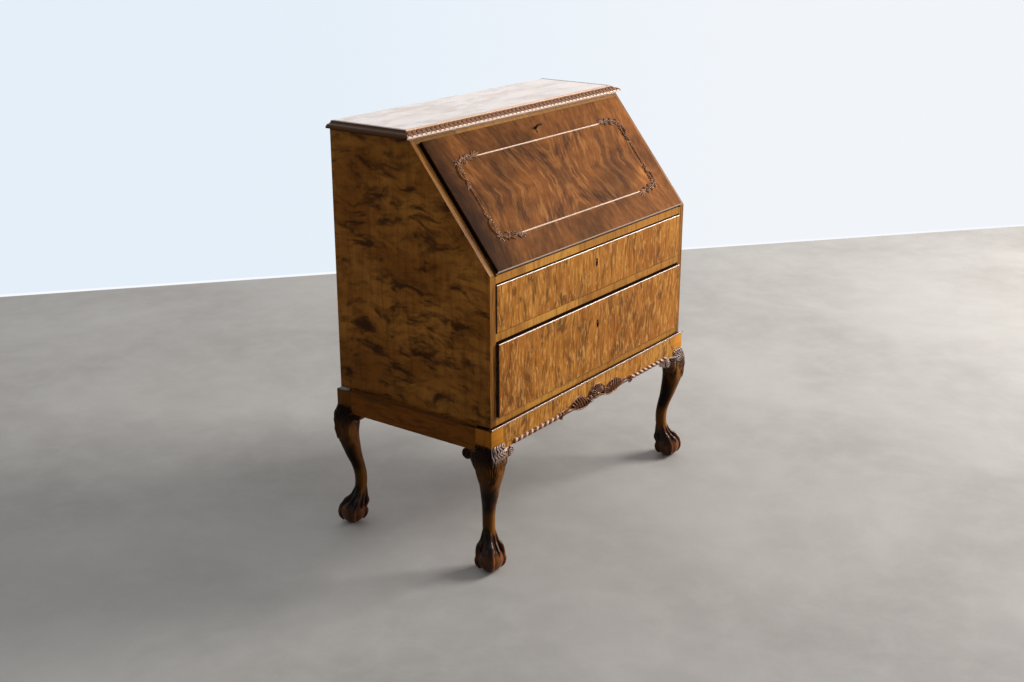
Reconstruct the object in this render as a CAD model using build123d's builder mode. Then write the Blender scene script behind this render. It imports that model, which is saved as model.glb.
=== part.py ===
# A slant-fronted writing desk (fall front secretaire) on a carved stand.
# Every length is in millimetres. X runs to the right, the front faces -Y and Z is up.
# The origin is on the floor, under the middle of the desk.
from build123d import *
import math
import os

os.makedirs("parts", exist_ok=True)

# The carcase
carcase_width = 896.0
carcase_depth = 478.0
carcase_floor = 382.0        # height of its underside over the floor
side_thickness = 22.0
board_thickness = 20.0       # bottom board
lower_opening = 188.0        # clear height for the lower drawer
middle_rail_height = 21.0
upper_opening = 121.0        # clear height for the upper drawer
fall_rail_height = 22.5
slant_run = 229.0            # how far the slanted front leans back
slant_rise = 285.5           # and how high it climbs
back_thickness = 8.0
back_rabbet = 10.0
housing_depth = 6.0          # how far a board is let into a side
housing_setback = 10.0       # hidden start of a housing behind a front edge
rail_facing_depth = 18.0     # bottom rail, front to back
rail_depth = 60.0            # middle rail, front to back
fall_rail_depth = 25.0
runner_width = 50.0
dust_board_thickness = 8.0
groove_depth = 8.0
stop_width = 40.0
stop_height = 5.0
stop_depth = 12.0
stop_spread = 150.0          # from the middle of the desk to a drawer stop

# The top board and its moulding
top_thickness = 22.0
lip_overhang = 15.0          # past the carcase side
front_lip_overhang = 7.0     # past the top of the slant
lip_drop = 6.0               # underside of the lip over the carcase top
lip_height = 3.0
moulding_run = 20.0          # from the lip in to the edge of the top face
moulding_seat = 10.0         # flat strip of the moulding beside the top board
moulding_bulge = 1.6

# The rail above the fall
top_rail_face = 12.0
top_rail_lap = 12.0
top_rail_thickness = 18.0
top_rail_depth = 20.0

# The fall
fall_proud = 10.0            # in front of the sides' slanted edges
fall_inset = 6.0             # behind them
fall_side_gap = 1.0
fall_edge_gap = 0.3
fall_rounding = 3.0
bed_thickness = 18.0
bead_half_width = 355.0
bead_top = 79.0              # distances down the slope
bead_bottom = 294.0
bead_radius = 2.5
spray_width = 85.0
spray_height = 76.0
spray_limb = 13.0            # breadth of a carved limb
spray_bulge = 6.0
spray_relief = 4.5
spray_boss = 9.0

# Hinges of the fall: flat brass leaves, pinned on the axis
leaf_thickness = 2.5
leaf_length = 40.0
leaf_radius = 4.0
hinge_eye = 3.5
hinge_pin = 1.6
running_clearance = 0.05
leaf_lean = 5.5              # how far a case leaf's far end lies behind the slanted edge
notch_clearance = 1.2

# Lock and key of the fall
lock_width = 60.0
lock_length = 49.0
lock_front = 3.0             # depth of the lock past the sides' edges
key_place = 47.0             # down the slope
key_radius = 3.0
key_reach = 24.0             # from the fall's face to the end of the bow
key_tip = 2.0
bit_length = 5.0
bit_reach = 8.0
bit_thickness = 2.4
bow_width = 22.0
bow_height = 15.0
bow_wire = 1.8
keyhole_drop = 13.0
keyhole_slot = 3.4
bolt_width = 16.0
bolt_thickness = 3.0
bolt_length = 22.0
bolt_cover = 2.0             # wood or brass in front of the bolt
bolt_travel = 8.0
bolt_clearance = 0.3

# Folding stays
stay_back = 150.0            # pivot on the side, behind the axis
stay_up = 36.0               # and over it
stay_reach = 150.0           # pivot on the fall, along it from the axis
stay_height = 19.0           # and off the axis plane, inwards
stay_eye = 7.0
stay_bar = 9.0
stay_thickness = 3.0
stay_gap = 0.3
stay_plate = 2.0
stay_plate_width = 30.0
stay_plate_height = 20.0
stay_pin = 2.5
stay_foot_width = 17.0
stay_foot_length = 30.0
stay_open_clearance = 0.4

# Drawers
drawer_side_gap = 1.2
drawer_top_gap = 3.0
drawer_bottom_gap = 1.5
drawer_proud = 3.0
lower_drawer_ajar = 6.0      # the lower drawer stands a little open
front_thickness = 20.0
front_rounding = 2.5
drawer_room = 48.0           # how much shorter a drawer is than the carcase is deep
drawer_wall = 10.0
drawer_head = 14.0           # how much lower the sides are than the opening
drawer_base = 6.0
drawer_base_lift = 9.0
slide_gap = 0.3
lock_plate_width = 50.0
lock_plate_thickness = 8.0
keyhole_radius = 3.6
keyhole_width = 4.4          # slot under the eye of a drawer keyhole
keyhole_depth = 13.5         # from the eye down to the slot's end
lock_head = 12.0             # from a drawer front's top to its lock
lock_foot = 19.0             # from the keyhole down to the lock's lower edge
keyhole_share = 0.305        # keyhole's place down a drawer front
dovetail_lap = 14.0          # how far a drawer side runs into the front
dovetail_root = 20.0         # height of a tail at its root
dovetail_flare = 3.0         # and how much it widens each way
dovetail_edge = 16.0         # wood above and below the tails

# The gallery of shelves inside
gallery_side_room = 16.0     # beside the gallery, for the stays
gallery_fall_room = 51.0     # between the gallery's top edge and the closed fall
gallery_height = 240.0
gallery_board = 8.0
small_opening = 74.0         # clear height for a small drawer
middle_bay = 300.0
pigeonhole_count = 6
small_gap = 0.8
small_front = 12.0
small_wall = 6.0
small_back_room = 14.0       # behind a small drawer
small_head = 8.0
knob_radius = 8.0
knob_neck = 3.5
knob_reach = 18.0

# The stand
stand_proud = 8.0            # in front of the carcase
post_side = 48.0
post_gap = 5.0               # slot between a post and the carcase
stand_rail_bottom = 318.0
stand_rail_thickness = 24.0
tenon_length = 20.0
tenon_thickness = 10.0
tenon_shoulder = 6.0
stand_bead_height = 4.5
stand_bead_proud = 2.5
rope_radius = 7.5
rope_gap = 2.0               # between the rope and a knee bracket
rope_lift = 1.5
block_side = 30.0
block_height = 50.0
screw_radius = 2.2
screw_head = 4.5
screw_head_height = 3.0
screw_bite = 14.0

# Legs
knee_width = 61.0
foot_inset = 12.0            # middle of the foot, in from the carcase corner both ways
ball_radius = 32.0
ball_height = 30.0
claw_radius = 7.5
claw_circle = 31.0
knuckle_radius = 9.0
claw_top_angle = 24.0
claw_sweep_angle = 112.0
knuckle_angles = (52.0, 92.0)

# Sections of a leg: share of the rail height, then as shares of the knee width the distance
# out from the carcase corner along the diagonal, the side, and the rounding as a share of the side
leg_section_shares = (
    (0.138, -0.33, 0.90, 0.46),
    (0.189, -0.43, 0.78, 0.46),
    (0.239, -0.56, 0.61, 0.46),
    (0.289, -0.63, 0.52, 0.46),
    (0.346, -0.67, 0.51, 0.46),
    (0.431, -0.66, 0.52, 0.46),
    (0.513, -0.57, 0.56, 0.46),
    (0.597, -0.43, 0.66, 0.44),
    (0.673, -0.33, 0.75, 0.42),
    (0.755, -0.22, 0.84, 0.38),
    (0.843, -0.18, 0.95, 0.33),
    (0.930, -0.22, 1.00, 0.28),
)
post_rounding_share = 0.08

# Knee brackets
bracket_reach = 90.0         # from the stand's corner along a rail
bracket_drop = 48.0          # from the rail down the side of the knee
bracket_thickness = 22.0
bracket_hollow = 3.5         # how far its lower edge is hollowed
volute_radius = 14.6
bracket_joint = 0.6          # glue line beside the knee

# The carved apron in the middle of the front rail
apron_half_width = 170.0
apron_thickness = 8.0
apron_top = 352.0
apron_shoulder = 334.0
apron_low = 310.0
apron_shell_width = 46.0
apron_lobe_width = 30.0
apron_relief = 5.0
apron_margin = 1.5          # plate seen round the raised carving
lobe_x_share = 0.47          # places along half of the apron
dip_x_share = 0.88

# Heights and places worked out from the sizes above
half_width = carcase_width / 2
inner_half = half_width - side_thickness
front = -carcase_depth / 2
back = carcase_depth / 2
panel_front = back - back_thickness
bottom_top = carcase_floor + board_thickness
middle_rail_bottom = bottom_top + lower_opening
middle_rail_top = middle_rail_bottom + middle_rail_height
fall_rail_bottom = middle_rail_top + upper_opening
slant_foot = fall_rail_bottom + fall_rail_height
carcase_top = slant_foot + slant_rise
slant_top_y = front + slant_run
slant_length = math.hypot(slant_run, slant_rise)
down_y = -slant_run / slant_length
down_z = -slant_rise / slant_length
out_y = down_z
out_z = -down_y
bed_top = slant_foot + fall_inset
stand_half = half_width + stand_proud
stand_front = front - stand_proud
stand_back = back + stand_proud
post_inner = stand_half - post_side
post_top = carcase_floor - post_gap


def slope(distance, height):
    """A point of the slanted front: distance down from its top, height off the sides' edges."""
    y = slant_top_y + down_y * distance + out_y * height
    z = carcase_top + down_z * distance + out_z * height
    return (y, z)


def slope_plane(x, distance, height):
    """A plane lying in the slanted front, its own Y pointing up the slope."""
    y, z = slope(distance, height)
    return Plane(origin=(x, y, z), x_dir=(1, 0, 0), z_dir=(0, out_y, out_z))


def block(x_span, y_span, z_span, mode=Mode.ADD):
    """A box between three pairs of coordinates, for the part in progress."""
    spans = (x_span, y_span, z_span)
    middle = [(low + high) / 2 for low, high in spans]
    with Locations(tuple(middle)):
        Box(*[abs(high - low) for low, high in spans], mode=mode)


def side_profile(points, x_start, x_end, mode=Mode.ADD):
    """An outline of (y, z) points carried from one x to another."""
    with BuildSketch(Plane.YZ.offset(x_start)) as outline:
        with BuildLine():
            Polyline(*points, close=True)
        make_face()
    extrude(outline.sketch, amount=x_end - x_start, mode=mode)


def rod(x_start, x_end, y, z, radius, mode=Mode.ADD):
    """A round bar along X."""
    with BuildSketch(Plane.YZ.offset(x_start)) as section:
        with Locations((y, z)):
            Circle(radius)
    extrude(section.sketch, amount=x_end - x_start, mode=mode)


def keep(piece, name):
    """Labels a finished piece and writes it to its own file."""
    piece.part.label = name
    export_step(piece.part, f"parts/{name}.step")


def housed_board(y_front, y_back, z_low, z_high, setback):
    """A board between the sides whose ends are let into them, hidden behind its front edge."""
    block((-inner_half, inner_half), (y_front, y_back), (z_low, z_high))
    tongue = inner_half + housing_depth
    block((-tongue, tongue), (y_front + setback, y_back), (z_low, z_high))


# Boards and rails between the sides
with BuildPart() as bottom_rail:
    block((-inner_half, inner_half), (front, front + rail_facing_depth), (carcase_floor, bottom_top))
keep(bottom_rail, "bottom_rail")

with BuildPart() as bottom_board:
    housed_board(front + rail_facing_depth, panel_front, carcase_floor, bottom_top, 0)
    block_middle_x = post_inner - block_side / 2
    block_middle_y = stand_back - stand_rail_thickness - block_side / 2
    with Locations((0, 0, carcase_floor + screw_bite / 2)):
        with GridLocations(2 * block_middle_x, 2 * block_middle_y, 2, 2):
            Cylinder(screw_radius, screw_bite, mode=Mode.SUBTRACT)
keep(bottom_board, "bottom_board")

runner_inner = inner_half - runner_width
dust_low = middle_rail_bottom + (middle_rail_height - dust_board_thickness) / 2
dust_high = dust_low + dust_board_thickness
with BuildPart() as dust_board:
    dust_half = runner_inner + groove_depth
    block((-dust_half, dust_half), (front + rail_depth - groove_depth, panel_front), (dust_low, dust_high))
keep(dust_board, "dust_board")

with BuildPart() as middle_rail:
    housed_board(front, front + rail_depth, middle_rail_bottom, middle_rail_top, housing_setback)
    add(dust_board.part, mode=Mode.SUBTRACT)
keep(middle_rail, "middle_rail")

with BuildPart() as drawer_runners:
    for side in (-1, 1):
        edges = (side * runner_inner, side * (inner_half + housing_depth))
        block(edges, (front + rail_depth, panel_front), (middle_rail_bottom, middle_rail_top))
    add(dust_board.part, mode=Mode.SUBTRACT)
keep(drawer_runners, "drawer_runners")

with BuildPart() as fall_rail:
    housed_board(front, front + fall_rail_depth, fall_rail_bottom, slant_foot, housing_setback)
    notch_start = inner_half - fall_side_gap - leaf_thickness - notch_clearance
    for side in (-1, 1):
        rod(side * notch_start, side * inner_half, front, slant_foot,
            hinge_eye + notch_clearance, Mode.SUBTRACT)
keep(fall_rail, "fall_rail")

bevel = fall_inset + fall_edge_gap
bed_low_y = front + bevel / -out_y
bed_high_y = bed_low_y + fall_inset * out_z / -out_y
bed_back_y = front + fall_rail_depth
with BuildPart() as writing_bed:
    bed_outline = (
        (bed_high_y, bed_top),
        (bed_low_y, slant_foot),
        (bed_back_y, slant_foot),
        (bed_back_y, bed_top - bed_thickness),
        (panel_front, bed_top - bed_thickness),
        (panel_front, bed_top),
    )
    side_profile(bed_outline, -inner_half, inner_half)
    bed_tongue = inner_half + housing_depth
    block((-bed_tongue, bed_tongue), (bed_back_y, panel_front), (bed_top - bed_thickness, bed_top))
keep(writing_bed, "writing_bed")

# The rail above the fall, with the mortise for the bolt
rail_stop = top_rail_face + top_rail_lap
bolt_front = -bolt_cover
bolt_back = bolt_front - bolt_thickness
bolt_middle = (bolt_front + bolt_back) / 2
with BuildPart() as top_rail:
    lap_y, lap_z = slope(rail_stop, -top_rail_thickness)
    rail_outline = (
        slope(0, 0),
        slope(top_rail_face, 0),
        slope(top_rail_face, -bevel),
        slope(rail_stop, -bevel),
        (lap_y, lap_z),
        (slant_top_y + top_rail_depth, lap_z),
        (slant_top_y + top_rail_depth, carcase_top),
    )
    side_profile(rail_outline, -inner_half, inner_half)
    mortise_depth = bolt_travel + bolt_clearance
    with BuildSketch(Plane(origin=(0, *slope(top_rail_face, bolt_middle)), x_dir=(1, 0, 0),
                           z_dir=(0, down_y, down_z))):
        Rectangle(bolt_width + 2 * bolt_clearance, bolt_thickness + 2 * bolt_clearance)
    extrude(amount=-mortise_depth, mode=Mode.SUBTRACT)
keep(top_rail, "top_rail")

with BuildPart() as back_panel:
    panel_half = inner_half + back_rabbet
    block((-panel_half, panel_half), (panel_front, back), (carcase_floor, carcase_top))
keep(back_panel, "back_panel")

# The two sides, with housings cut for what is let into them
side_outline = (
    (front, carcase_floor),
    (front, slant_foot),
    (slant_top_y, carcase_top),
    (back, carcase_top),
    (back, carcase_floor),
)
leaf_far = slant_length - leaf_length


def hinge_leaf(x_start, x_end, lean):
    """A tapered brass leaf from the eye on the axis to a rounded end up the slope."""
    with BuildSketch(Plane.YZ.offset(x_start)) as outline:
        with BuildLine():
            CenterArc((front, slant_foot), hinge_eye, 0, 360)
            CenterArc(slope(leaf_far, lean), leaf_radius, 0, 360)
        make_hull()
    extrude(outline.sketch, amount=x_end - x_start)


with BuildPart() as case_hinge_leaves:
    for side in (-1, 1):
        hinge_leaf(side * inner_half, side * (inner_half + leaf_thickness), -leaf_lean)
        pin_end = inner_half - fall_side_gap - leaf_thickness
        rod(side * inner_half, side * pin_end, front, slant_foot, hinge_pin)
keep(case_hinge_leaves, "case_hinge_leaves")

for side, name in ((-1, "left_side"), (1, "right_side")):
    with BuildPart() as carcase_side:
        side_profile(side_outline, side * inner_half, side * half_width)
        let_in = (bottom_board, middle_rail, drawer_runners, fall_rail, writing_bed, back_panel)
        for piece in let_in + (case_hinge_leaves,):
            add(piece.part, mode=Mode.SUBTRACT)
    keep(carcase_side, name)

# Drawer stops behind the closed drawer fronts
stop_y = front - drawer_proud + front_thickness + slide_gap
with BuildPart() as drawer_stops:
    for shelf_top in (bottom_top, middle_rail_top):
        for side in (-1, 1):
            x_span = (side * stop_spread - stop_width / 2, side * stop_spread + stop_width / 2)
            block(x_span, (stop_y, stop_y + stop_depth), (shelf_top, shelf_top + stop_height))
keep(drawer_stops, "drawer_stops")

# The top board and the moulding glued round three of its edges
lip_x = half_width + lip_overhang
lip_y = slant_top_y - front_lip_overhang
moulding_depth = moulding_run + moulding_seat
top_z = carcase_top + top_thickness
core_half = lip_x - moulding_depth
core_front = lip_y + moulding_depth
with BuildPart() as top_board:
    block((-core_half, core_half), (core_front, back), (carcase_top, top_z))
keep(top_board, "top_board")


def moulding_outline(overhang):
    """Half of the edge's outline, from the top face out to the lip and under it."""
    lip_low = carcase_top + lip_drop
    lip_high = lip_low + lip_height
    waist = (moulding_run / 2, (lip_high + top_z) / 2)
    with BuildLine() as outline:
        Polyline((moulding_run, top_z), (moulding_depth, top_z), (moulding_depth, carcase_top),
                 (overhang, carcase_top), (overhang, lip_low), (0, lip_low), (0, lip_high))
        SagittaArc((0, lip_high), waist, moulding_bulge)
        SagittaArc(waist, (moulding_run, top_z), -moulding_bulge)
    make_face(outline.edges())


mitre_planes = [Plane(origin=(side * lip_x, lip_y, 0), x_dir=(0, 0, 1), z_dir=(side, 1, 0))
                for side in (-1, 1)]
with BuildPart() as top_side_mouldings:
    for side, mitre in zip((-1, 1), mitre_planes):
        with BuildPart(mode=Mode.PRIVATE) as length:
            start = Plane(origin=(side * lip_x, lip_y, 0), x_dir=(-side, 0, 0), z_dir=(0, side, 0))
            with BuildSketch(start):
                moulding_outline(lip_overhang)
            extrude(amount=side * (back - lip_y))
            split(bisect_by=mitre, keep=Keep.TOP)
        add(length.part)
keep(top_side_mouldings, "top_side_mouldings")

with BuildPart() as top_front_moulding:
    with BuildSketch(Plane(origin=(-lip_x, lip_y, 0), x_dir=(0, 1, 0), z_dir=(1, 0, 0))):
        moulding_outline(front_lip_overhang)
    extrude(amount=2 * lip_x)
    for mitre in mitre_planes:
        split(bisect_by=mitre, keep=Keep.BOTTOM)
keep(top_front_moulding, "top_front_moulding")

# The fall and what is fixed to it
fall_half = inner_half - fall_side_gap
fall_start = top_rail_face + fall_edge_gap
fall_end = slant_length - fall_edge_gap
cut_distance = slant_length - (fall_edge_gap + fall_inset * out_z) / -down_z
lock_end = fall_start + lock_length
with BuildPart() as fall_lock_case:
    with BuildSketch(slope_plane(0, (fall_start + lock_end) / 2, -fall_inset)):
        Rectangle(lock_width, lock_length)
    extrude(amount=fall_inset + lock_front)
    with BuildSketch(slope_plane(0, key_place, lock_front)):
        Circle(key_radius + running_clearance)
    extrude(amount=-(lock_front + key_tip), mode=Mode.SUBTRACT)
    with BuildSketch(slope_plane(0, key_place, -key_tip - bolt_clearance)):
        Circle(bit_reach + bolt_clearance)
    extrude(amount=bit_length + 2 * bolt_clearance, mode=Mode.SUBTRACT)
    slot_length = bolt_length + 2 * bolt_clearance
    with BuildSketch(slope_plane(0, fall_start + slot_length / 2, bolt_back - bolt_clearance)):
        Rectangle(bolt_width + 2 * bolt_clearance, slot_length)
    extrude(amount=bolt_thickness + 2 * bolt_clearance, mode=Mode.SUBTRACT)
keep(fall_lock_case, "fall_lock_case")

with BuildPart() as fall_lock_bolt:
    bolt_start = fall_start + bolt_clearance
    with BuildSketch(slope_plane(0, bolt_start + bolt_length / 2, bolt_back)):
        Rectangle(bolt_width, bolt_length)
    extrude(amount=bolt_thickness)
keep(fall_lock_bolt, "fall_lock_bolt")

with BuildPart() as fall_hinge_leaves:
    for side in (-1, 1):
        hinge_leaf(side * (fall_half - leaf_thickness), side * fall_half, fall_edge_gap)
        rod(side * (fall_half - leaf_thickness), side * fall_half, front, slant_foot,
            hinge_pin + running_clearance, Mode.SUBTRACT)
keep(fall_hinge_leaves, "fall_hinge_leaves")

with BuildPart() as fall_panel:
    fall_outline = (
        slope(fall_start, fall_proud),
        slope(fall_end, fall_proud),
        slope(fall_end, 0),
        slope(cut_distance, -fall_inset),
        slope(fall_start, -fall_inset),
    )
    side_profile(fall_outline, -fall_half, fall_half)
    outward = Axis((0, front, slant_foot), (0, out_y, out_z))
    fillet(fall_panel.faces().sort_by(outward)[-1].edges(), fall_rounding)
    with BuildSketch(slope_plane(0, (fall_start + lock_end) / 2, -fall_inset)):
        Rectangle(lock_width, lock_length)
    extrude(amount=fall_inset + lock_front, mode=Mode.SUBTRACT)
    with BuildSketch(slope_plane(0, key_place, lock_front)):
        Circle(key_radius + running_clearance)
        with Locations((0, -keyhole_drop / 2)):
            Rectangle(keyhole_slot, keyhole_drop)
    extrude(amount=fall_proud - lock_front, mode=Mode.SUBTRACT)
    add(fall_hinge_leaves.part, mode=Mode.SUBTRACT)
    for side in (-1, 1):
        rod(side * (fall_half - leaf_thickness), side * fall_half, front, slant_foot,
            hinge_pin + running_clearance, Mode.SUBTRACT)
keep(fall_panel, "fall_panel")

with BuildPart() as key:
    with BuildSketch(slope_plane(0, key_place, -key_tip)):
        Circle(key_radius)
    shank_end = key_reach - bow_height
    extrude(amount=key_tip + fall_proud + shank_end + bow_wire)
    with BuildSketch(slope_plane(0, key_place, -key_tip)):
        with Locations((bit_reach / 2, 0)):
            Rectangle(bit_reach, bit_thickness)
    extrude(amount=bit_length)
    bow_y, bow_z = slope(key_place, fall_proud + shank_end + bow_height / 2)
    with BuildSketch(Plane(origin=(0, bow_y, bow_z), x_dir=(1, 0, 0), z_dir=(0, down_y, down_z))):
        Ellipse(bow_width / 2, bow_height / 2)
        Ellipse(bow_width / 2 - 2 * bow_wire, bow_height / 2 - 2 * bow_wire, mode=Mode.SUBTRACT)
    extrude(amount=bow_wire, both=True)
keep(key, "key")

# The applied bead and the carved corner sprays on the fall
with BuildPart() as fall_bead:
    rows = (bead_top, bead_bottom)
    run = bead_half_width - spray_width
    for distance in rows:
        y, z = slope(distance, fall_proud)
        rod(-run, run, y, z, bead_radius)
    side_top = slope(bead_top + spray_height, fall_proud)
    side_length = bead_bottom - bead_top - 2 * spray_height
    for side in (-1, 1):
        start = Plane(origin=(side * bead_half_width, *side_top), x_dir=(1, 0, 0),
                      z_dir=(0, down_y, down_z))
        with BuildSketch(start):
            Circle(bead_radius)
        extrude(amount=side_length)
    split(bisect_by=slope_plane(0, 0, fall_proud), keep=Keep.TOP)
keep(fall_bead, "fall_bead")

with BuildPart() as fall_corner_carvings:
    for distance, down in ((bead_top, 1), (bead_bottom, -1)):
        with BuildSketch(slope_plane(0, distance, fall_proud)):
            for side in (-1, 1):
                corner = side * bead_half_width
                for end_x, end_y, bulge_x, bulge_y in (
                        (corner - side * spray_width, 0, 0, down),
                        (corner, -down * spray_height, side, 0)):
                    near = (corner - side * spray_boss * (bulge_y != 0),
                            -down * spray_boss * (bulge_x != 0))
                    middle = ((near[0] + end_x) / 2, (near[1] + end_y) / 2)
                    outer = (middle[0] + bulge_x * spray_bulge, middle[1] + bulge_y * spray_bulge)
                    inner = (outer[0] - bulge_x * spray_limb, outer[1] - bulge_y * spray_limb)
                    with BuildLine():
                        ThreePointArc(near, outer, (end_x, end_y))
                        ThreePointArc((end_x, end_y), inner, near)
                    make_face()
                with Locations((corner - side * spray_boss / 2, -down * spray_boss / 2)):
                    Circle(spray_boss)
        extrude(amount=spray_relief)
keep(fall_corner_carvings, "fall_corner_carvings")

# Folding stays: two arms on each side that keep a parallelogram with the fall
plate_pivot = (front + stay_back, slant_foot + stay_up)
up_y = -down_y
up_z = -down_z
fall_pivot = (front + stay_reach * up_y - stay_height * out_y,
              slant_foot + stay_reach * up_z - stay_height * out_z)
elbow = (plate_pivot[0] + fall_pivot[0] - front, plate_pivot[1] + fall_pivot[1] - slant_foot)
upper_outer = inner_half - stay_plate - stay_gap
upper_inner = upper_outer - stay_thickness
lower_outer = upper_inner - stay_gap
lower_inner = lower_outer - stay_thickness
ear_outer = lower_inner - stay_gap
ear_inner = ear_outer - stay_thickness

with BuildPart() as stay_side_plates:
    for side in (-1, 1):
        y_span = (plate_pivot[0] - stay_plate_width / 2, plate_pivot[0] + stay_plate_width / 2)
        z_span = (plate_pivot[1] - stay_plate_height / 2, plate_pivot[1] + stay_plate_height / 2)
        block((side * (inner_half - stay_plate), side * inner_half), y_span, z_span)
        rod(side * (inner_half - stay_plate), side * upper_inner, *plate_pivot, stay_pin)
keep(stay_side_plates, "stay_side_plates")


def stay_arm(x_start, x_end, first, second):
    """A flat bar with a round eye at each end, between two (y, z) pivots."""
    length = math.hypot(second[0] - first[0], second[1] - first[1])
    lean = math.degrees(math.atan2(second[1] - first[1], second[0] - first[0]))
    middle = ((first[0] + second[0]) / 2, (first[1] + second[1]) / 2)
    with BuildSketch(Plane.YZ.offset(x_start)) as outline:
        with Locations(first, second):
            Circle(stay_eye)
        with Locations(Location((*middle, 0), (0, 0, lean))):
            Rectangle(length, stay_bar)
    extrude(outline.sketch, amount=x_end - x_start)


for side, name in ((-1, "left"), (1, "right")):
    with BuildPart() as upper_arm:
        stay_arm(side * upper_inner, side * upper_outer, plate_pivot, elbow)
        rod(side * upper_inner, side * upper_outer, *plate_pivot, stay_pin + running_clearance,
            Mode.SUBTRACT)
        rod(side * upper_inner, side * lower_inner, *elbow, stay_pin)
    keep(upper_arm, f"{name}_stay_upper_arm")

    with BuildPart() as lower_arm:
        stay_arm(side * lower_inner, side * lower_outer, elbow, fall_pivot)
        rod(side * lower_inner, side * lower_outer, *elbow, stay_pin + running_clearance,
            Mode.SUBTRACT)
        rod(side * lower_inner, side * lower_outer, *fall_pivot, stay_pin + stay_open_clearance,
            Mode.SUBTRACT)
    keep(lower_arm, f"{name}_stay_lower_arm")

with BuildPart() as stay_fall_brackets:
    foot_distance = slant_length - stay_reach
    foot_back = -fall_inset - stay_plate
    for side in (-1, 1):
        foot_outline = (
            slope(foot_distance - stay_foot_length / 2, -fall_inset),
            slope(foot_distance + stay_foot_length / 2, -fall_inset),
            slope(foot_distance + stay_foot_length / 2, foot_back),
            slope(foot_distance - stay_foot_length / 2, foot_back),
        )
        side_profile(foot_outline, side * (ear_outer - stay_foot_width), side * ear_outer)
        ear_outline = (
            slope(foot_distance - stay_eye, -fall_inset),
            slope(foot_distance + stay_eye, -fall_inset),
            slope(foot_distance + stay_eye, -stay_height),
            slope(foot_distance - stay_eye, -stay_height),
        )
        side_profile(ear_outline, side * ear_inner, side * ear_outer)
        rod(side * ear_inner, side * ear_outer, *fall_pivot, stay_eye)
        rod(side * ear_outer, side * lower_outer, *fall_pivot, stay_pin)
keep(stay_fall_brackets, "stay_fall_brackets")

# The two drawers
front_half = inner_half - drawer_side_gap


def drawer_keyhole(back_y, middle_z, depth):
    """Cuts an eye with a slot under it forward from back_y."""
    with BuildSketch(Plane.XZ.offset(-back_y)) as hole:
        with Locations((0, middle_z)):
            Circle(keyhole_radius)
        with Locations((0, middle_z - keyhole_depth / 2)):
            Rectangle(keyhole_width, keyhole_depth)
    extrude(hole.sketch, amount=depth, mode=Mode.SUBTRACT)


def drawer_tails(side, root_y, low, high, mode=Mode.ADD):
    """The dovetails of a drawer side, let into the back of the drawer front."""
    room = high - low - 2 * dovetail_edge
    count = int(room // (2 * dovetail_root)) + 1
    for number in range(count):
        middle = low + dovetail_edge + room * (2 * number + 1) / (2 * count)
        tail = (
            (root_y, middle - dovetail_root / 2),
            (root_y, middle + dovetail_root / 2),
            (root_y - dovetail_lap, middle + dovetail_root / 2 + dovetail_flare),
            (root_y - dovetail_lap, middle - dovetail_root / 2 - dovetail_flare),
        )
        side_profile(tail, side * (front_half - drawer_wall), side * front_half, mode)


for name, opening_low, opening_height, ajar in (
        ("lower_drawer", bottom_top, lower_opening, lower_drawer_ajar),
        ("upper_drawer", middle_rail_top, upper_opening, 0)):
    face = front - drawer_proud - ajar
    panel_back = face + front_thickness
    front_top = opening_low + opening_height - drawer_top_gap
    side_low = opening_low + slide_gap
    side_high = opening_low + opening_height - drawer_head
    drawer_back = panel_back + carcase_depth - drawer_room
    base_low = side_low + drawer_base_lift
    lock_top = front_top - lock_head
    front_low = opening_low + drawer_bottom_gap
    eye_z = front_top - keyhole_share * (front_top - front_low)
    lock_low = eye_z - lock_foot

    with BuildPart() as drawer_lock:
        y_span = (panel_back - lock_plate_thickness, panel_back)
        block((-lock_plate_width / 2, lock_plate_width / 2), y_span,
              (lock_low, lock_top))
        drawer_keyhole(y_span[1], eye_z, lock_plate_thickness)
    keep(drawer_lock, f"{name}_lock")

    with BuildPart() as drawer_front:
        block((-front_half, front_half), (face, panel_back), (front_low, front_top))
        fillet(drawer_front.faces().sort_by(Axis.Y)[0].edges(), front_rounding)
        block((-lock_plate_width / 2, lock_plate_width / 2), y_span, (lock_low, lock_top),
              Mode.SUBTRACT)
        for side in (-1, 1):
            drawer_tails(side, panel_back, side_low, side_high, Mode.SUBTRACT)
        drawer_keyhole(panel_back, eye_z, front_thickness)
    keep(drawer_front, f"{name}_front")

    with BuildPart() as drawer_bottom:
        base_half = front_half - drawer_wall / 2
        block((-base_half, base_half), (panel_back, drawer_back), (base_low, base_low + drawer_base))
    keep(drawer_bottom, f"{name}_bottom")

    with BuildPart() as drawer_sides:
        for side in (-1, 1):
            block((side * (front_half - drawer_wall), side * front_half), (panel_back, drawer_back),
                  (side_low, side_high))
            drawer_tails(side, panel_back, side_low, side_high)
        add(drawer_bottom.part, mode=Mode.SUBTRACT)
    keep(drawer_sides, f"{name}_sides")

    with BuildPart() as drawer_end:
        end_half = front_half - drawer_wall
        block((-end_half, end_half), (drawer_back - drawer_wall, drawer_back),
              (base_low + drawer_base, side_high))
    keep(drawer_end, f"{name}_back")

# The gallery on the writing bed
gallery_half = inner_half - gallery_side_room
shelf_low = bed_top + small_opening
gallery_top = bed_top + gallery_height
fall_inner_y = slope((carcase_top - fall_inset * out_z - gallery_top) / -down_z, -fall_inset)[0]
gallery_front = fall_inner_y + gallery_fall_room
upper_low = shelf_low + gallery_board
shelf_half = gallery_half - gallery_board
with BuildPart() as gallery_shelves:
    for low in (shelf_low, gallery_top - gallery_board):
        block((-shelf_half, shelf_half), (gallery_front, panel_front), (low, low + gallery_board))
keep(gallery_shelves, "gallery_shelves")

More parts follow.
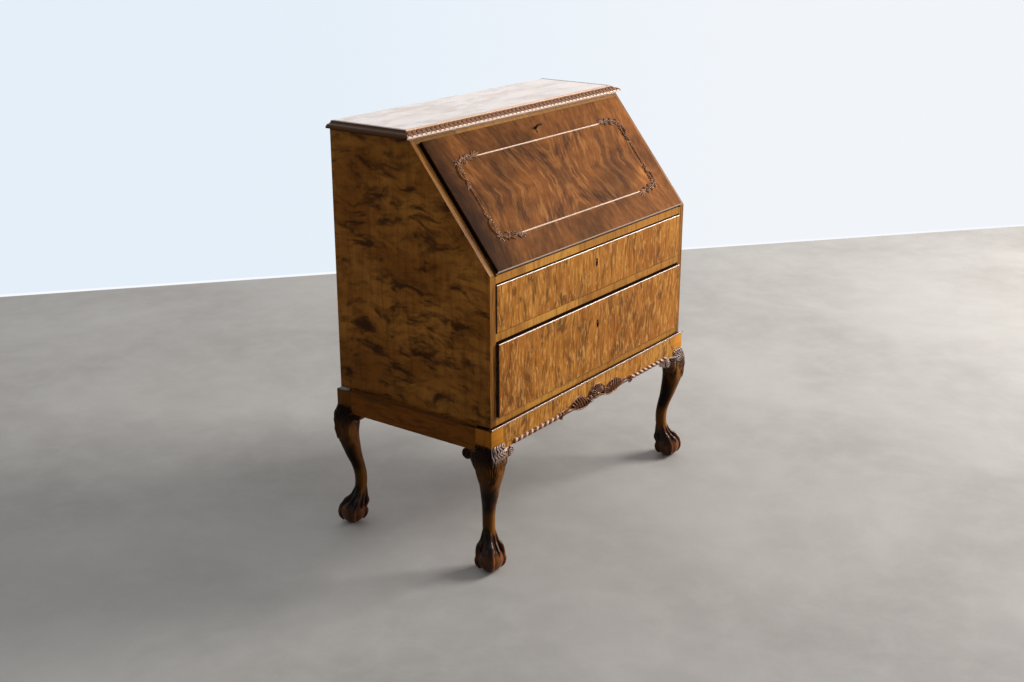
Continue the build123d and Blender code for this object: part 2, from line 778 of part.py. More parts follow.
pigeonhole_pitch = (2 * shelf_half + gallery_board) / pigeonhole_count
with BuildPart() as gallery_uprights:
    for side in (-1, 1):
        block((side * shelf_half, side * gallery_half), (gallery_front, panel_front),
              (bed_top, gallery_top))
        bay_edge = side * middle_bay / 2
        block((bay_edge, bay_edge + side * gallery_board), (gallery_front, panel_front),
              (bed_top, shelf_low))
    for number in range(1, pigeonhole_count):
        left = -shelf_half - gallery_board + number * pigeonhole_pitch
        block((left, left + gallery_board), (gallery_front, panel_front),
              (upper_low, gallery_top - gallery_board))
keep(gallery_uprights, "gallery_uprights")

# Small drawers in the gallery
small_inner = middle_bay / 2 + gallery_board + small_gap
small_outer = shelf_half - small_gap
small_low = bed_top + slide_gap
small_high = shelf_low - small_gap
for side, name in ((-1, "left_small_drawer"), (1, "right_small_drawer")):
    x_span = (side * small_inner, side * small_outer)
    panel_back = gallery_front + small_front
    tray_back = panel_front - small_back_room

    with BuildPart() as small_panel:
        block(x_span, (gallery_front, panel_back), (small_low, small_high))
    keep(small_panel, f"{name}_front")

    with BuildPart() as small_tray:
        block(x_span, (panel_back, tray_back), (small_low, small_high - small_head))
        block((side * (small_inner + small_wall), side * (small_outer - small_wall)),
              (panel_back, tray_back - small_wall), (small_low + small_wall, small_high), Mode.SUBTRACT)
    keep(small_tray, f"{name}_tray")

    with BuildPart() as small_knob:
        knob_x = (x_span[0] + x_span[1]) / 2
        knob_z = (small_low + small_high) / 2
        with BuildSketch(Plane(origin=(knob_x, gallery_front, knob_z), x_dir=(1, 0, 0),
                               z_dir=(0, -1, 0))):
            Circle(knob_neck)
        extrude(amount=knob_reach - knob_radius)
        with Locations((knob_x, gallery_front - knob_reach + knob_radius, knob_z)):
            Sphere(knob_radius)
    keep(small_knob, f"{name}_knob")

# The stand's rails
tenon_low = stand_rail_bottom + tenon_shoulder
tenon_high = post_top - tenon_shoulder
tenon_end = post_inner + tenon_length
tenon_inset = (stand_rail_thickness - tenon_thickness) / 2
rails = {}
for name, outer, inward in (("stand_front_rail", stand_front, 1), ("stand_back_rail", stand_back, -1)):
    with BuildPart() as rail:
        block((-post_inner, post_inner), (outer, outer + inward * stand_rail_thickness),
              (stand_rail_bottom, carcase_floor))
        tenon_y = outer + inward * tenon_inset
        block((-tenon_end, tenon_end), (tenon_y, tenon_y + inward * tenon_thickness),
              (tenon_low, tenon_high))
    keep(rail, name)
    rails[name] = rail

post_inner_y = stand_back - post_side
with BuildPart() as stand_side_rails:
    for side in (-1, 1):
        block((side * (stand_half - stand_rail_thickness), side * stand_half),
              (-post_inner_y, post_inner_y), (stand_rail_bottom, carcase_floor))
        tenon_x = side * (stand_half - tenon_inset)
        tenon_end_y = post_inner_y + tenon_length
        block((tenon_x, tenon_x - side * tenon_thickness), (-tenon_end_y, tenon_end_y),
              (tenon_low, tenon_high))
keep(stand_side_rails, "stand_side_rails")

with BuildPart() as stand_bead:
    bead_low = carcase_floor - stand_bead_height
    y_span = (stand_front - stand_bead_proud, stand_front)
    block((-stand_half - stand_bead_proud, stand_half + stand_bead_proud), y_span,
          (bead_low, carcase_floor))
    for side in (-1, 1):
        block((side * stand_half, side * (stand_half + stand_bead_proud)),
              (-post_inner_y, post_inner_y), (bead_low, carcase_floor))
    for z_pick in (0, -1):
        long_edges = stand_bead.faces().sort_by(Axis.Y)[0].edges().filter_by(Axis.X)
        fillet(long_edges.sort_by(Axis.Z)[z_pick], stand_bead_proud / 2)
keep(stand_bead, "stand_bead")

rope_end = stand_half - bracket_reach - rope_gap
with BuildPart() as rope_moulding:
    for side in (-1, 1):
        rod(side * apron_half_width, side * rope_end, stand_front, stand_rail_bottom + rope_radius - rope_lift,
            rope_radius)
    split(bisect_by=Plane.XZ.offset(-stand_front), keep=Keep.TOP)
keep(rope_moulding, "rope_moulding")

with BuildPart() as corner_blocks:
    block_low = carcase_floor - block_height
    for side_x in (-1, 1):
        for side_y in (-1, 1):
            rail_inner_y = side_y * (stand_back - stand_rail_thickness)
            block((side_x * (post_inner - block_side), side_x * post_inner),
                  (rail_inner_y, rail_inner_y - side_y * block_side), (block_low, carcase_floor))
    with Locations((0, 0, (block_low + carcase_floor) / 2)):
        with GridLocations(2 * block_middle_x, 2 * block_middle_y, 2, 2):
            Cylinder(screw_radius, block_height, mode=Mode.SUBTRACT)
keep(corner_blocks, "corner_blocks")

with BuildPart() as stand_screws:
    with Locations((0, 0, block_low)):
        with GridLocations(2 * block_middle_x, 2 * block_middle_y, 2, 2):
            Cylinder(screw_radius, block_height + screw_bite,
                     align=(Align.CENTER, Align.CENTER, Align.MIN))
            Cylinder(screw_head, screw_head_height, align=(Align.CENTER, Align.CENTER, Align.MAX))
keep(stand_screws, "stand_screws")

# Legs: a post, a cabriole leg and a ball-and-claw foot from one piece of wood
root_two = math.sqrt(2)
corners = (("front_left", -1, -1), ("front_right", 1, -1), ("back_left", -1, 1), ("back_right", 1, 1))
for name, side_x, side_y in corners:
    with BuildPart() as leg:
        for height_share, reach_share, side_share, rounding_share in leg_section_shares:
            reach = reach_share * knee_width / root_two
            side = side_share * knee_width
            middle = (side_x * (half_width + reach), side_y * (back + reach))
            with BuildSketch(Plane.XY.offset(height_share * stand_rail_bottom)):
                with Locations(middle):
                    RectangleRounded(side, side, rounding_share * side)
        post_middle = (side_x * (stand_half - post_side / 2), side_y * (stand_back - post_side / 2))
        with BuildSketch(Plane.XY.offset(stand_rail_bottom)):
            with Locations(post_middle):
                RectangleRounded(post_side, post_side, post_rounding_share * post_side)
        loft()
        with BuildSketch(Plane.XY.offset(stand_rail_bottom)):
            with Locations(post_middle):
                Rectangle(post_side, post_side)
        extrude(amount=post_top - stand_rail_bottom)

        foot = Vector(side_x * (half_width - foot_inset), side_y * (back - foot_inset), ball_height)
        with Locations(tuple(foot)):
            Sphere(ball_radius)
        outward_angle = math.degrees(math.atan2(side_y, side_x))
        for turn in (0, 90, 180, 270):
            heading = Vector(1, 0, 0).rotate(Axis.Z, outward_angle + turn)
            across = heading.rotate(Axis.Z, 90)
            start = Vector(0, 0, 1).rotate(Axis((0, 0, 0), tuple(across)), claw_top_angle)
            with BuildSketch(Plane(origin=tuple(foot), x_dir=tuple(start), z_dir=tuple(start.cross(across)))):
                with Locations((claw_circle, 0)):
                    Circle(claw_radius)
            revolve(axis=Axis(tuple(foot), tuple(across)), revolution_arc=claw_sweep_angle)
            for angle in knuckle_angles:
                place = Vector(0, 0, 1).rotate(Axis((0, 0, 0), tuple(across)), angle)
                with Locations(tuple(foot + place * claw_circle)):
                    Sphere(knuckle_radius)
        split(bisect_by=Plane.XY, keep=Keep.TOP)

        for rail in (*rails.values(), stand_side_rails):
            add(rail.part, mode=Mode.SUBTRACT)
    keep(leg, f"{name}_leg")

# Knee brackets: two to a leg, glued under the rails, each ending in a volute
bracket_low = stand_rail_bottom - bracket_drop
bracket_end = stand_half - bracket_reach
volute_middle_z = stand_rail_bottom - volute_radius


def bracket(along, low, reach_from, inward):
    """The outline of a bracket: down from the rail beside the knee, and out to a volute."""
    tip = reach_from + inward * volute_radius
    with BuildLine() as outline:
        Polyline((along, low), (along, stand_rail_bottom), (tip, stand_rail_bottom))
        Line((tip, stand_rail_bottom), (tip, volute_middle_z))
        SagittaArc((tip, volute_middle_z), (along, low), inward * bracket_hollow)
    make_face(outline.edges())
    with Locations((tip, volute_middle_z)):
        Circle(volute_radius)


with BuildPart() as knee_brackets:
    for name, side_x, side_y in corners:
        with BuildSketch(Plane.XZ.offset(-side_y * stand_back)):
            bracket(side_x * (post_inner - bracket_joint), bracket_low, side_x * bracket_end, side_x)
        extrude(amount=side_y * bracket_thickness)
        bracket_end_y = stand_back - bracket_reach
        with BuildSketch(Plane.YZ.offset(side_x * stand_half)):
            bracket(side_y * (post_inner_y - bracket_joint), bracket_low, side_y * bracket_end_y,
                    side_y)
        extrude(amount=-side_x * bracket_thickness)
keep(knee_brackets, "knee_brackets")

# The carved apron: a shaped plate with a raised shell and two leaf lobes
with BuildPart() as apron_carving:
    lobe_x = lobe_x_share * apron_half_width
    lobe_z = apron_low + rope_lift * 2
    dip_x = dip_x_share * apron_half_width
    dip_z = (apron_low + apron_shoulder) / 2
    middle_z = stand_rail_bottom + (apron_top - stand_rail_bottom) / 3
    crest_end = 2 * apron_shell_width
    with BuildSketch(Plane.XZ.offset(-stand_front)):
        with BuildLine():
            for side in (-1, 1):
                lobe = (side * lobe_x, lobe_z)
                dip = (side * dip_x, dip_z)
                Spline((0, middle_z), lobe, dip, tangents=((side, 0), (side, 0)))
                Polyline(dip, (side * apron_half_width, apron_low),
                         (side * apron_half_width, apron_shoulder),
                         (side * crest_end, apron_shoulder))
            ThreePointArc((-crest_end, apron_shoulder), (0, apron_top), (crest_end, apron_shoulder))
        make_face()
    extrude(amount=apron_thickness)
    with BuildSketch(Plane.XZ.offset(-stand_front + apron_thickness)):
        with Locations((0, (middle_z + apron_top) / 2)):
            Ellipse(apron_shell_width / 2, (apron_top - middle_z) / 2 - apron_margin)
        for side in (-1, 1):
            with Locations((side * lobe_x, (lobe_z + apron_shoulder) / 2)):
                Ellipse(apron_lobe_width, (apron_shoulder - lobe_z) / 2 - apron_margin)
    extrude(amount=apron_relief)
keep(apron_carving, "apron_carving")
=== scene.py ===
import bmesh
import bpy
import math
import numpy as np
from fnmatch import fnmatch
from itertools import product
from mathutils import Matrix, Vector


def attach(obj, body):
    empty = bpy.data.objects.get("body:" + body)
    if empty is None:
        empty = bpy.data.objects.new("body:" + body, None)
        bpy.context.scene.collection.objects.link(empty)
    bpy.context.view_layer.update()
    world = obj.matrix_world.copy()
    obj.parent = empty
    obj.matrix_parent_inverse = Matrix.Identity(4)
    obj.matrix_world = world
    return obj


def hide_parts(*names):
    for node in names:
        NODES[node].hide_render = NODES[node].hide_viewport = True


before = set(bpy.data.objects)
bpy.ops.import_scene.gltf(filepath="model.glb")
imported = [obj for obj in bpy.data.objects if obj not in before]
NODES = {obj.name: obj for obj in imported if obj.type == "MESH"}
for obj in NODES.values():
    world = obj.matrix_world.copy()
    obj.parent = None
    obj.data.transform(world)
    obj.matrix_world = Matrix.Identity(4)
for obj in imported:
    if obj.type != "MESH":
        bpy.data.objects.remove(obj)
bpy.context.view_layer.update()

# Sizes of the desk that the pieces here are fitted to
HALF_WIDTH, FRONT, BACK = 448.0, -239.0, 239.0
STAND_HALF, STAND_FRONT = 456.0, -247.0
RAIL_LOW, ROPE_HEIGHT = 318.0, 324.0
CARCASE_TOP, LIP_TOP, LIP_HALF = 1040.0, 1062.0, 463.0
SLANT_TOP_Y = -10.0
DOWN = np.array([0.0, -0.62569, -0.78007])
OUT = np.array([0.0, -0.78007, 0.62569])
SIDEWAY = np.array([1.0, 0.0, 0.0])
FORWARD = np.array([0.0, -1.0, 0.0])
UPWARD = np.array([0.0, 0.0, 1.0])
FALL_FACE = 10.0
BEAD_ROWS, BEAD_SIDE = (79.0, 294.0), 355.0
KEY_DOWN = 47.0
FOOT_AXIS = -12.0
LEG_REACH, LEG_REACH_BACK = 469.8, 260.8
ROPE_LAY, ROPE_TURNS = 22.0, 0.80
LEAF_UNIT = 17.0


def slope_point(x, s, n):
    """Row-frame point of the slanted front, arrays allowed."""
    x, s, n = np.broadcast_arrays(np.asarray(x, float), s, n)
    y = SLANT_TOP_Y + DOWN[1] * s + OUT[1] * n
    z = CARCASE_TOP + DOWN[2] * s + OUT[2] * n
    return np.stack([x, y, z], -1)


# Materials

def arithmetic(operation, swapped=False):
    """A method that joins a value and another value, or a number, with one math node."""
    def act(self, other=0.0):
        return self.shader.math(operation, *((other, self) if swapped else (self, other)))
    return act


class Value:
    """A number in a node tree, which takes plain arithmetic."""

    def __init__(self, shader, socket):
        self.shader, self.socket = shader, socket

    __add__, __sub__, __mul__ = arithmetic("ADD"), arithmetic("SUBTRACT"), arithmetic("MULTIPLY")
    __truediv__, __abs__ = arithmetic("DIVIDE"), arithmetic("ABSOLUTE")
    __lt__, __gt__ = arithmetic("LESS_THAN"), arithmetic("GREATER_THAN")
    __rsub__ = arithmetic("SUBTRACT", True)


class Shader:
    """The nodes of a new material, or of a given tree, built with short calls."""

    def __init__(self, name="", tree=None):
        if tree is None:
            self.material = bpy.data.materials.new(name)
            self.material.use_nodes = True
            tree = self.material.node_tree
        self.tree = tree
        self.tree.nodes.clear()

    def feed(self, socket, value):
        value = value.socket if isinstance(value, Value) else value
        if isinstance(value, bpy.types.NodeSocket):
            self.tree.links.new(value, socket)
        elif socket.type == "RGBA":
            socket.default_value = (*value, 1.0)
        else:
            socket.default_value = value

    def node(self, kind, inputs=(), **settings):
        """A new node, its inputs given by number or name."""
        made = self.tree.nodes.new(kind)
        for key, value in settings.items():
            setattr(made, key, value)
        for key, value in dict(inputs).items():
            self.feed(made.inputs[key], value)
        return made

    def math(self, operation, *values):
        return Value(self, self.node("ShaderNodeMath", enumerate(values), operation=operation).outputs[0])

    def coordinates(self, kind):
        return self.node("ShaderNodeTexCoord").outputs[kind]

    @property
    def place(self):
        return self.coordinates("Object")

    def split(self, kind="Object"):
        made = self.node("ShaderNodeSeparateXYZ", {0: self.coordinates(kind)})
        return [Value(self, part) for part in made.outputs]

    def facing(self):
        """The three parts of the surface's direction."""
        return self.split("Normal")

    def crest(self):
        """How far the surface stands out: about 0.5 where flat, more on edges, less in hollows."""
        return Value(self, self.node("ShaderNodeNewGeometry").outputs["Pointiness"])

    def noise(self, place, detail=3, rough=0.5, bend=0.0, scale=1):
        if isinstance(place, tuple):
            place = self.node("ShaderNodeCombineXYZ", enumerate(place)).outputs[0]
        made = self.node("ShaderNodeTexNoise", {"Vector": place, "Scale": scale, "Detail": detail,
                                                "Roughness": rough, "Distortion": bend})
        return Value(self, made.outputs["Fac"])

    def ramp(self, value, low, high, start=0.0, end=1.0):
        """start below low, end above high, smooth between."""
        made = self.node("ShaderNodeMapRange", enumerate((value, low, high, start, end)),
                         interpolation_type="SMOOTHSTEP")
        return Value(self, made.outputs[0])

    def mix(self, share, a, b, blend="MIX"):
        return self.node("ShaderNodeMix", {0: share, 6: a, 7: b}, data_type="RGBA",
                         blend_type=blend).outputs[2]

    def over(self, share, color, blend="MIX"):
        """Lay a colour over the one so far."""
        self.color = self.mix(share, self.color, color, blend)

    def shade(self, amount):
        """Make the colour so far lighter or darker."""
        self.color = self.node("ShaderNodeVectorMath", {0: self.color, "Scale": amount},
                               operation="SCALE").outputs[0]

    def vector(self, operation, *values):
        return self.node("ShaderNodeVectorMath", enumerate(values), operation=operation).outputs

    def blend(self, share, first, second):
        return self.node("ShaderNodeMixShader", {0: share, 1: first.outputs[0], 2: second.outputs[0]})

    def surface(self, shader, kind="ShaderNodeOutputMaterial"):
        self.node(kind, {"Surface": shader.outputs[0]})

    def finish(self, rough, height=None, depth=0.0003, coat=0.0, coat_rough=0.15,
               metal=0.0, specular=0.5):
        """The finished material, with height as fine bumps of a depth in metres."""
        shader = self.node("ShaderNodeBsdfPrincipled", {
            "Base Color": self.color, "Roughness": rough, "Metallic": metal, "Specular IOR Level": specular,
            "Coat Weight": coat, "Coat Roughness": coat_rough})
        if height is not None:
            bump = self.node("ShaderNodeBump", {"Strength": 0.6, "Distance": depth, "Height": height})
            self.feed(shader.inputs["Normal"], bump.outputs[0])
        self.surface(shader)
        return self.material


def fibres(shader, across, along, other, fine=520.0):
    """Fine fibre lines and pores of a veneer: (fibre value, pore value)."""
    lines = shader.noise((across * fine, along * 9, other * 40), 4, 0.62)
    pores = shader.noise((across * (fine * 2.2), along * 55, other * 60), 2, 0.5)
    return lines, shader.ramp(pores, 0.62, 0.72)


def veneer_side(name, seed=0.0, strength=1.0):
    """Dark flamed veneer with cross clouds, grain upright."""
    s = Shader(name)
    x, y, z = s.split()
    y = y + seed
    warp = s.noise((y * 5, z * 5, seed), 3, 0.5)
    zw = warp * 0.1 + z
    broad = s.noise((y * 4.5, zw * 7, seed + 3), 3, 0.55)
    cloud = s.noise((y * 11, zw * 25, seed + 7), 5, 0.62, 0.35)
    ripple = s.noise((y * 20, zw * 52, seed + 11), 5, 0.62, 0.3)
    upright = s.noise((y * 75, z * 5, seed + 17), 4, 0.6, 0.3)
    lines, pores = fibres(s, y, z, x, 430.0)
    s.color = s.mix(s.ramp(broad, 0.32, 0.68), (0.25, 0.084, 0.011), (0.42, 0.168, 0.028))
    s.over(s.ramp(ripple, 0.42, 0.68) * 0.62, (0.125, 0.038, 0.006))
    s.over(s.ramp(cloud, 0.48, 0.66) * (0.9 * strength), (0.036, 0.011, 0.003))
    s.over(s.ramp(upright, 0.46, 0.7) * 0.35, (0.09, 0.028, 0.005))
    s.shade(lines * 0.55 + 0.72)
    s.over(pores * 0.45, (0.03, 0.012, 0.004))
    s.shade(s.ramp(z, 0.4, 0.66) * 0.2 + 0.8)
    nx = abs(s.facing()[0])
    edge = 1.0 - s.ramp(nx, 0.4, 0.6)
    strip = s.noise((z * 14, y * 14, x * 300), 4, 0.6)
    strip_color = s.mix(s.ramp(strip, 0.34, 0.66), (0.15, 0.052, 0.008), (0.4, 0.165, 0.03))
    s.over(edge, strip_color)
    return s.finish(broad * 0.12 + 0.3, lines, 0.00012, 0.0, 0.2, specular=0.06)


KEYHOLES, KEYHOLE_HALF = (0.6885, 0.526), 0.0046
MIDDLE_RAIL, APRON_HALF = 0.608, 0.168


def veneer_drawer(name, seed=0.0, ground=((0.365, 0.12, 0.016), (0.54, 0.214, 0.032)), shade=0.0):
    """Orange-brown streaked veneer, grain upright, with ripples; painted shade in the keyholes, on the end
    faces and flat tops, a painted highlight along the top edges, and a painted shadow behind the apron below
    shade.
    """
    s = Shader(name)
    x, y, z = s.split()
    nx, ny, up = s.facing()
    sway = s.noise(((x + seed) * 6, z * 5, seed), 2, 0.5)
    xw = sway * 0.05 + (x + seed)
    broad = s.noise((xw * 5, z * 3.2, seed + 2), 3, 0.55)
    streak = s.noise((xw * 78, z * 9, seed + 5), 6, 0.66, 0.6)
    patch = s.noise((xw * 27, z * 13, seed + 8), 5, 0.64, 0.9)
    ripple = s.noise((xw * 120, z * 30, seed + 9), 5, 0.64, 0.6)
    lines, pores = fibres(s, xw, z, y, 560.0)
    s.color = s.mix(s.ramp(broad, 0.33, 0.67), *ground)
    s.over(s.ramp(streak, 0.46, 0.62) * 0.74, (0.2, 0.062, 0.012))
    s.over(s.ramp(patch, 0.5, 0.66) * 0.78, (0.12, 0.048, 0.014))
    s.over(s.ramp(ripple, 0.48, 0.64) * 0.62, (0.74, 0.37, 0.1))
    s.shade(lines * 0.75 + 0.62)
    s.over(pores * 0.4, (0.055, 0.02, 0.006))
    lip = 1.0 - s.ramp(abs(ny), 0.9, 0.99)
    # painted shade: the walls inside the keyholes near black
    hole = (abs(x) < KEYHOLE_HALF) * (lip > 0.5) * (y > FRONT / 1000 - 0.0075)
    from_rail = abs(z - MIDDLE_RAIL)
    s.over(hole * (from_rail > 0.06) * (from_rail < 0.105), (0.004, 0.002, 0.001))
    for middle in KEYHOLES:
        over, aside = (z - middle) * (1 / 0.0112), x * (1 / 0.005)
        oval = over * over + aside * aside
        s.over(1.0 - s.ramp(oval, 0.8, 1.2), (0.03, 0.01, 0.004))
    if shade:
        # painted shadow: below the height shade the frieze is near black behind the apron carving
        under = (abs(x) < APRON_HALF) * (z < shade) * (y < 0.0)
        s.over(under, (0.012, 0.005, 0.002))
    # painted shade: the end faces of the fronts near black
    ends = s.ramp(abs(nx), 0.6, 0.85)
    s.over(ends * 0.96, (0.008, 0.003, 0.002))
    # painted highlight: a pale pinkish line along the rounded top edges; painted shade: the flat top faces
    # near black
    flat = s.ramp(up, 0.9, 0.985)
    s.over(s.ramp(up, 0.15, 0.4) * (lip * 0.85), (0.84, 0.68, 0.58))
    s.over(flat, (0.016, 0.006, 0.003))
    lip = lip * (1.0 - flat)
    return s.finish(broad * 0.12 + 0.28, lines, 0.00012, lip * 0.9, 0.16, specular=0.05)


def veneer_fall(name):
    """Reddish book-matched crotch veneer, mirrored about both middles of the fall, with painted shade towards
    its left end, painted light towards its right end, a painted highlight along its foot and painted shade on
    its end faces.
    """
    s = Shader(name)
    x, y, z = s.split()
    dy = y - SLANT_TOP_Y / 1000
    dz = z - CARCASE_TOP / 1000
    down = dy * float(DOWN[1]) + dz * float(DOWN[2])
    wide = abs(x)
    high = abs(down - 0.19)
    warp = s.noise((wide * 5, high * 6, 1.3), 3, 0.55)
    lead = wide - high * 0.42
    lead = warp * 0.045 + lead
    run = wide * 0.6 + high
    broad = s.noise((lead * 7, run * 3, 4), 4, 0.6)
    flame = s.noise((lead * 46, run * 9.5, 9), 5, 0.66, 0.25)
    dark = s.noise((lead * 33, run * 8, 15), 5, 0.66, 0.25)
    feather = s.noise((lead * 120, run * 24, 3), 5, 0.66, 0.5)
    lines, pores = fibres(s, lead, run, z, 420.0)
    outside = s.math("MAXIMUM", s.ramp(wide, 0.35, 0.372), s.ramp(high, 0.106, 0.116))
    plain = outside * -0.55 + 1.0
    s.color = s.mix(s.ramp(broad, 0.3, 0.7), (0.15, 0.045, 0.009), (0.32, 0.112, 0.024))
    s.over(s.ramp(flame, 0.5, 0.64) * (plain * 0.68), (0.42, 0.168, 0.044))
    s.over(s.ramp(dark, 0.51, 0.65) * (plain * 0.76), (0.072, 0.024, 0.009))
    s.over(s.ramp(feather, 0.5, 0.68) * 0.4, (0.42, 0.175, 0.058))
    s.over((1.0 - s.ramp(feather, 0.32, 0.47)) * 0.5, (0.08, 0.026, 0.01))
    s.shade(outside * -0.18 + 1.0)
    patch = s.noise((x * 5.5, down * 7, 21), 3, 0.6, 0.4)
    s.shade(s.ramp(patch, 0.36, 0.62) * 0.5 + 0.66)
    # painted shade towards the left end, painted light (a soft sheen) towards the right end
    left = 1.0 - s.ramp(x, -0.43, -0.31)
    s.shade(left * -0.76 + 1.0)
    s.shade(s.ramp(x, 0.18, 0.4) * 0.46 + 1.0)
    s.shade(lines * 0.46 + 0.77)
    s.over(pores * 0.35, (0.045, 0.017, 0.007))
    # painted highlight: a thin pale line along the rounded bottom edge
    foot = s.ramp(down, 0.364, 0.3648)
    s.over(foot * 0.85, (0.8, 0.62, 0.52))
    # painted shade: the end faces near black
    ends = s.ramp(abs(s.facing()[0]), 0.6, 0.85)
    s.over(ends * 0.95, (0.01, 0.004, 0.002))
    return s.finish(broad * 0.12 + 0.46, lines, 0.0001, 0.0, 0.25, specular=0.022)


def banded(name, along, across, pitch=0.23, light=1.0, figure=1.0, ends=0.0,
           ground=((0.47, 0.2, 0.034), (0.57, 0.262, 0.048)), gap_shadows=()):
    """Golden cross-banding in lengths that differ a little, seams between them; light below 1 darkens it as
    painted shade, and it can take painted shadow lines across it and painted shade on its tops and
    left-facing sides.
    """
    s = Shader(name)
    axes = dict(zip("xyz", s.split()))
    run, rise = axes[along], axes[across]
    scaled = (run + 3.07) / pitch
    number = s.math("FLOOR", scaled)
    hue = s.noise((number * 7.3, 0.4, 0.7), 0)
    tone = s.noise((number * 3.1, 5.4, 2.7), 0)
    part = s.math("FRACT", scaled)
    seam = s.ramp(abs(part - 0.5), 0.4955, 0.4985)
    streak = s.noise((run * 85, rise * 11, number * 5), 5, 0.62, 0.4)
    cloud = s.noise((run * 20, rise * 14, number * 3), 4, 0.6, 0.6)
    lines = s.noise((run * 620, rise * 26, number), 4, 0.6)
    s.color = s.mix(s.ramp(hue, 0.35, 0.65), *ground)
    s.over(s.ramp(streak, 0.48, 0.66) * min(0.52 * figure, 0.9), (0.24, 0.086, 0.018))
    s.over(s.ramp(cloud, 0.54, 0.7) * min(0.45 * figure, 0.9), (0.2, 0.074, 0.018))
    s.shade(tone * 0.5 + 0.75)
    # light below 1 darkens the piece as painted shade: far darker on the stand's side rails, which face away
    # from the light
    s.shade(lines * 0.36 + 0.82 * light)
    s.over(seam * 0.6, (0.1, 0.04, 0.012))
    # painted shadow: near-black lines across the rails above the drawers and under the fall's lip
    for low, high in gap_shadows:
        line = (axes["z"] > low) * (axes["z"] < high)
        s.over(line * 0.92, (0.014, 0.005, 0.003))
    if ends:
        # painted shade: faces turned to the left darker, more so towards the back, and the top faces near
        # black
        aside = s.ramp(s.facing()[0] * -1.0, 0.5, 0.8)
        depth = s.mix(s.ramp(axes["y"], -0.05, 0.05), (0.62, 0.56, 0.5), (0.24, 0.2, 0.16))
        s.over(aside, depth, "MULTIPLY")
        up = s.ramp(s.facing()[2], 0.4, 0.6)
        s.over(up * ends, (0.012, 0.005, 0.002))
    return s.finish(cloud * 0.1 + 0.3, lines, 0.0001, 0.0, 0.18,
                    specular=0.03 if ends or light < 0.5 else 0.06)


def veneer_top(name):
    """Quiet walnut of the top board, grain along the width."""
    s = Shader(name)
    x, y, z = s.split()
    warp = s.noise((x * 2, y * 4, 2), 2, 0.5)
    yw = warp * 0.07 + y
    figure = s.noise((x * 3.5, yw * 42, 5), 5, 0.6, 0.5)
    cloud = s.noise((x * 6, yw * 9, 8), 3, 0.6, 0.4)
    lines, pores = fibres(s, yw, x, z, 460.0)
    s.color = s.mix(s.ramp(cloud, 0.3, 0.7), (0.26, 0.112, 0.034), (0.42, 0.195, 0.062))
    s.over(s.ramp(figure, 0.5, 0.72) * 0.6, (0.105, 0.041, 0.014))
    s.shade(lines * 0.45 + 0.78)
    s.over(pores * 0.35, (0.04, 0.015, 0.006))
    smear = s.noise((x * 9, y * 22, 3), 4, 0.6, 0.6)
    coat = s.ramp(smear, 0.34, 0.6) * 0.36 + 0.45
    return s.finish(cloud * 0.1 + 0.24, lines, 0.00008, coat, 0.12, specular=0.35)


def carved(name, dark=1.0, wear_and_highlight=(0.3, 0.115, 0.035), coat=0.3, specular=0.12,
           ground=((0.07, 0.022, 0.006), (0.16, 0.056, 0.015)), crown=(0.515, 0.56), glints=False):
    """Stained carved walnut: near black in the hollows as painted shade, the crests lighter with wear and
    painted highlight, glints as painted highlight spots.
    """
    s = Shader(name)
    x, y, z = s.split()
    crest = s.crest()
    grain = s.noise((x * 150, y * 150, z * 14), 4, 0.6, 0.3)
    cloud = s.noise((x * 22, y * 22, z * 9), 3, 0.6, 0.3)
    s.color = s.mix(s.ramp(cloud, 0.35, 0.65), *ground)
    s.over(s.ramp(grain, 0.48, 0.7) * 0.4, (0.032, 0.012, 0.005))
    top = s.ramp(crest, *crown)
    if glints:
        spot = s.noise((x * 110, y * 110, z * 110), 2, 0.5)
        top = top * (s.ramp(spot, 0.44, 0.56) * 0.85 + 0.15)
    # crests: wear, with painted highlight where the colour is pale pink
    s.over(top, wear_and_highlight)
    # painted shade: hollows near black
    s.over(1.0 - s.ramp(crest, 0.44, 0.492), (0.014, 0.006, 0.003))
    # dark below 1 darkens the whole piece as painted shade
    s.shade(dark)
    return s.finish(grain * 0.16 + 0.24, grain, 0.00015, coat, 0.18, specular=specular)


def rope_wood(name):
    """Rope moulding: painted highlight pale on the upper crowns of the strands, painted shade dark in the lay
    between them.
    """
    s = Shader(name)
    x, y, z = s.split()
    grain = s.noise((x * 60, y * 60, z * 60), 4, 0.6, 0.3)
    turn = s.math("ARCSINE", (z - ROPE_HEIGHT / 1000) * (1 / 0.0078))
    phase = turn * (ROPE_TURNS / math.pi) + abs(x) * (1000.0 / ROPE_LAY)
    strand = abs(s.math("SINE", phase * math.pi))
    s.color = s.mix(s.ramp(grain, 0.35, 0.65), (0.2, 0.074, 0.026), (0.29, 0.116, 0.044))
    # painted highlight: pale crowns of the strands, on the upper part only
    crown = s.ramp(strand, 0.8, 0.99) * s.ramp(z, 0.3215, 0.3262)
    s.over(crown * 0.92, (0.7, 0.46, 0.32))
    # painted shade: dark in the lay between the strands
    s.over(1.0 - s.ramp(strand, 0.2, 0.5), (0.06, 0.02, 0.007))
    return s.finish(0.3, grain, 0.0001, 0.15, 0.14, specular=0.1)


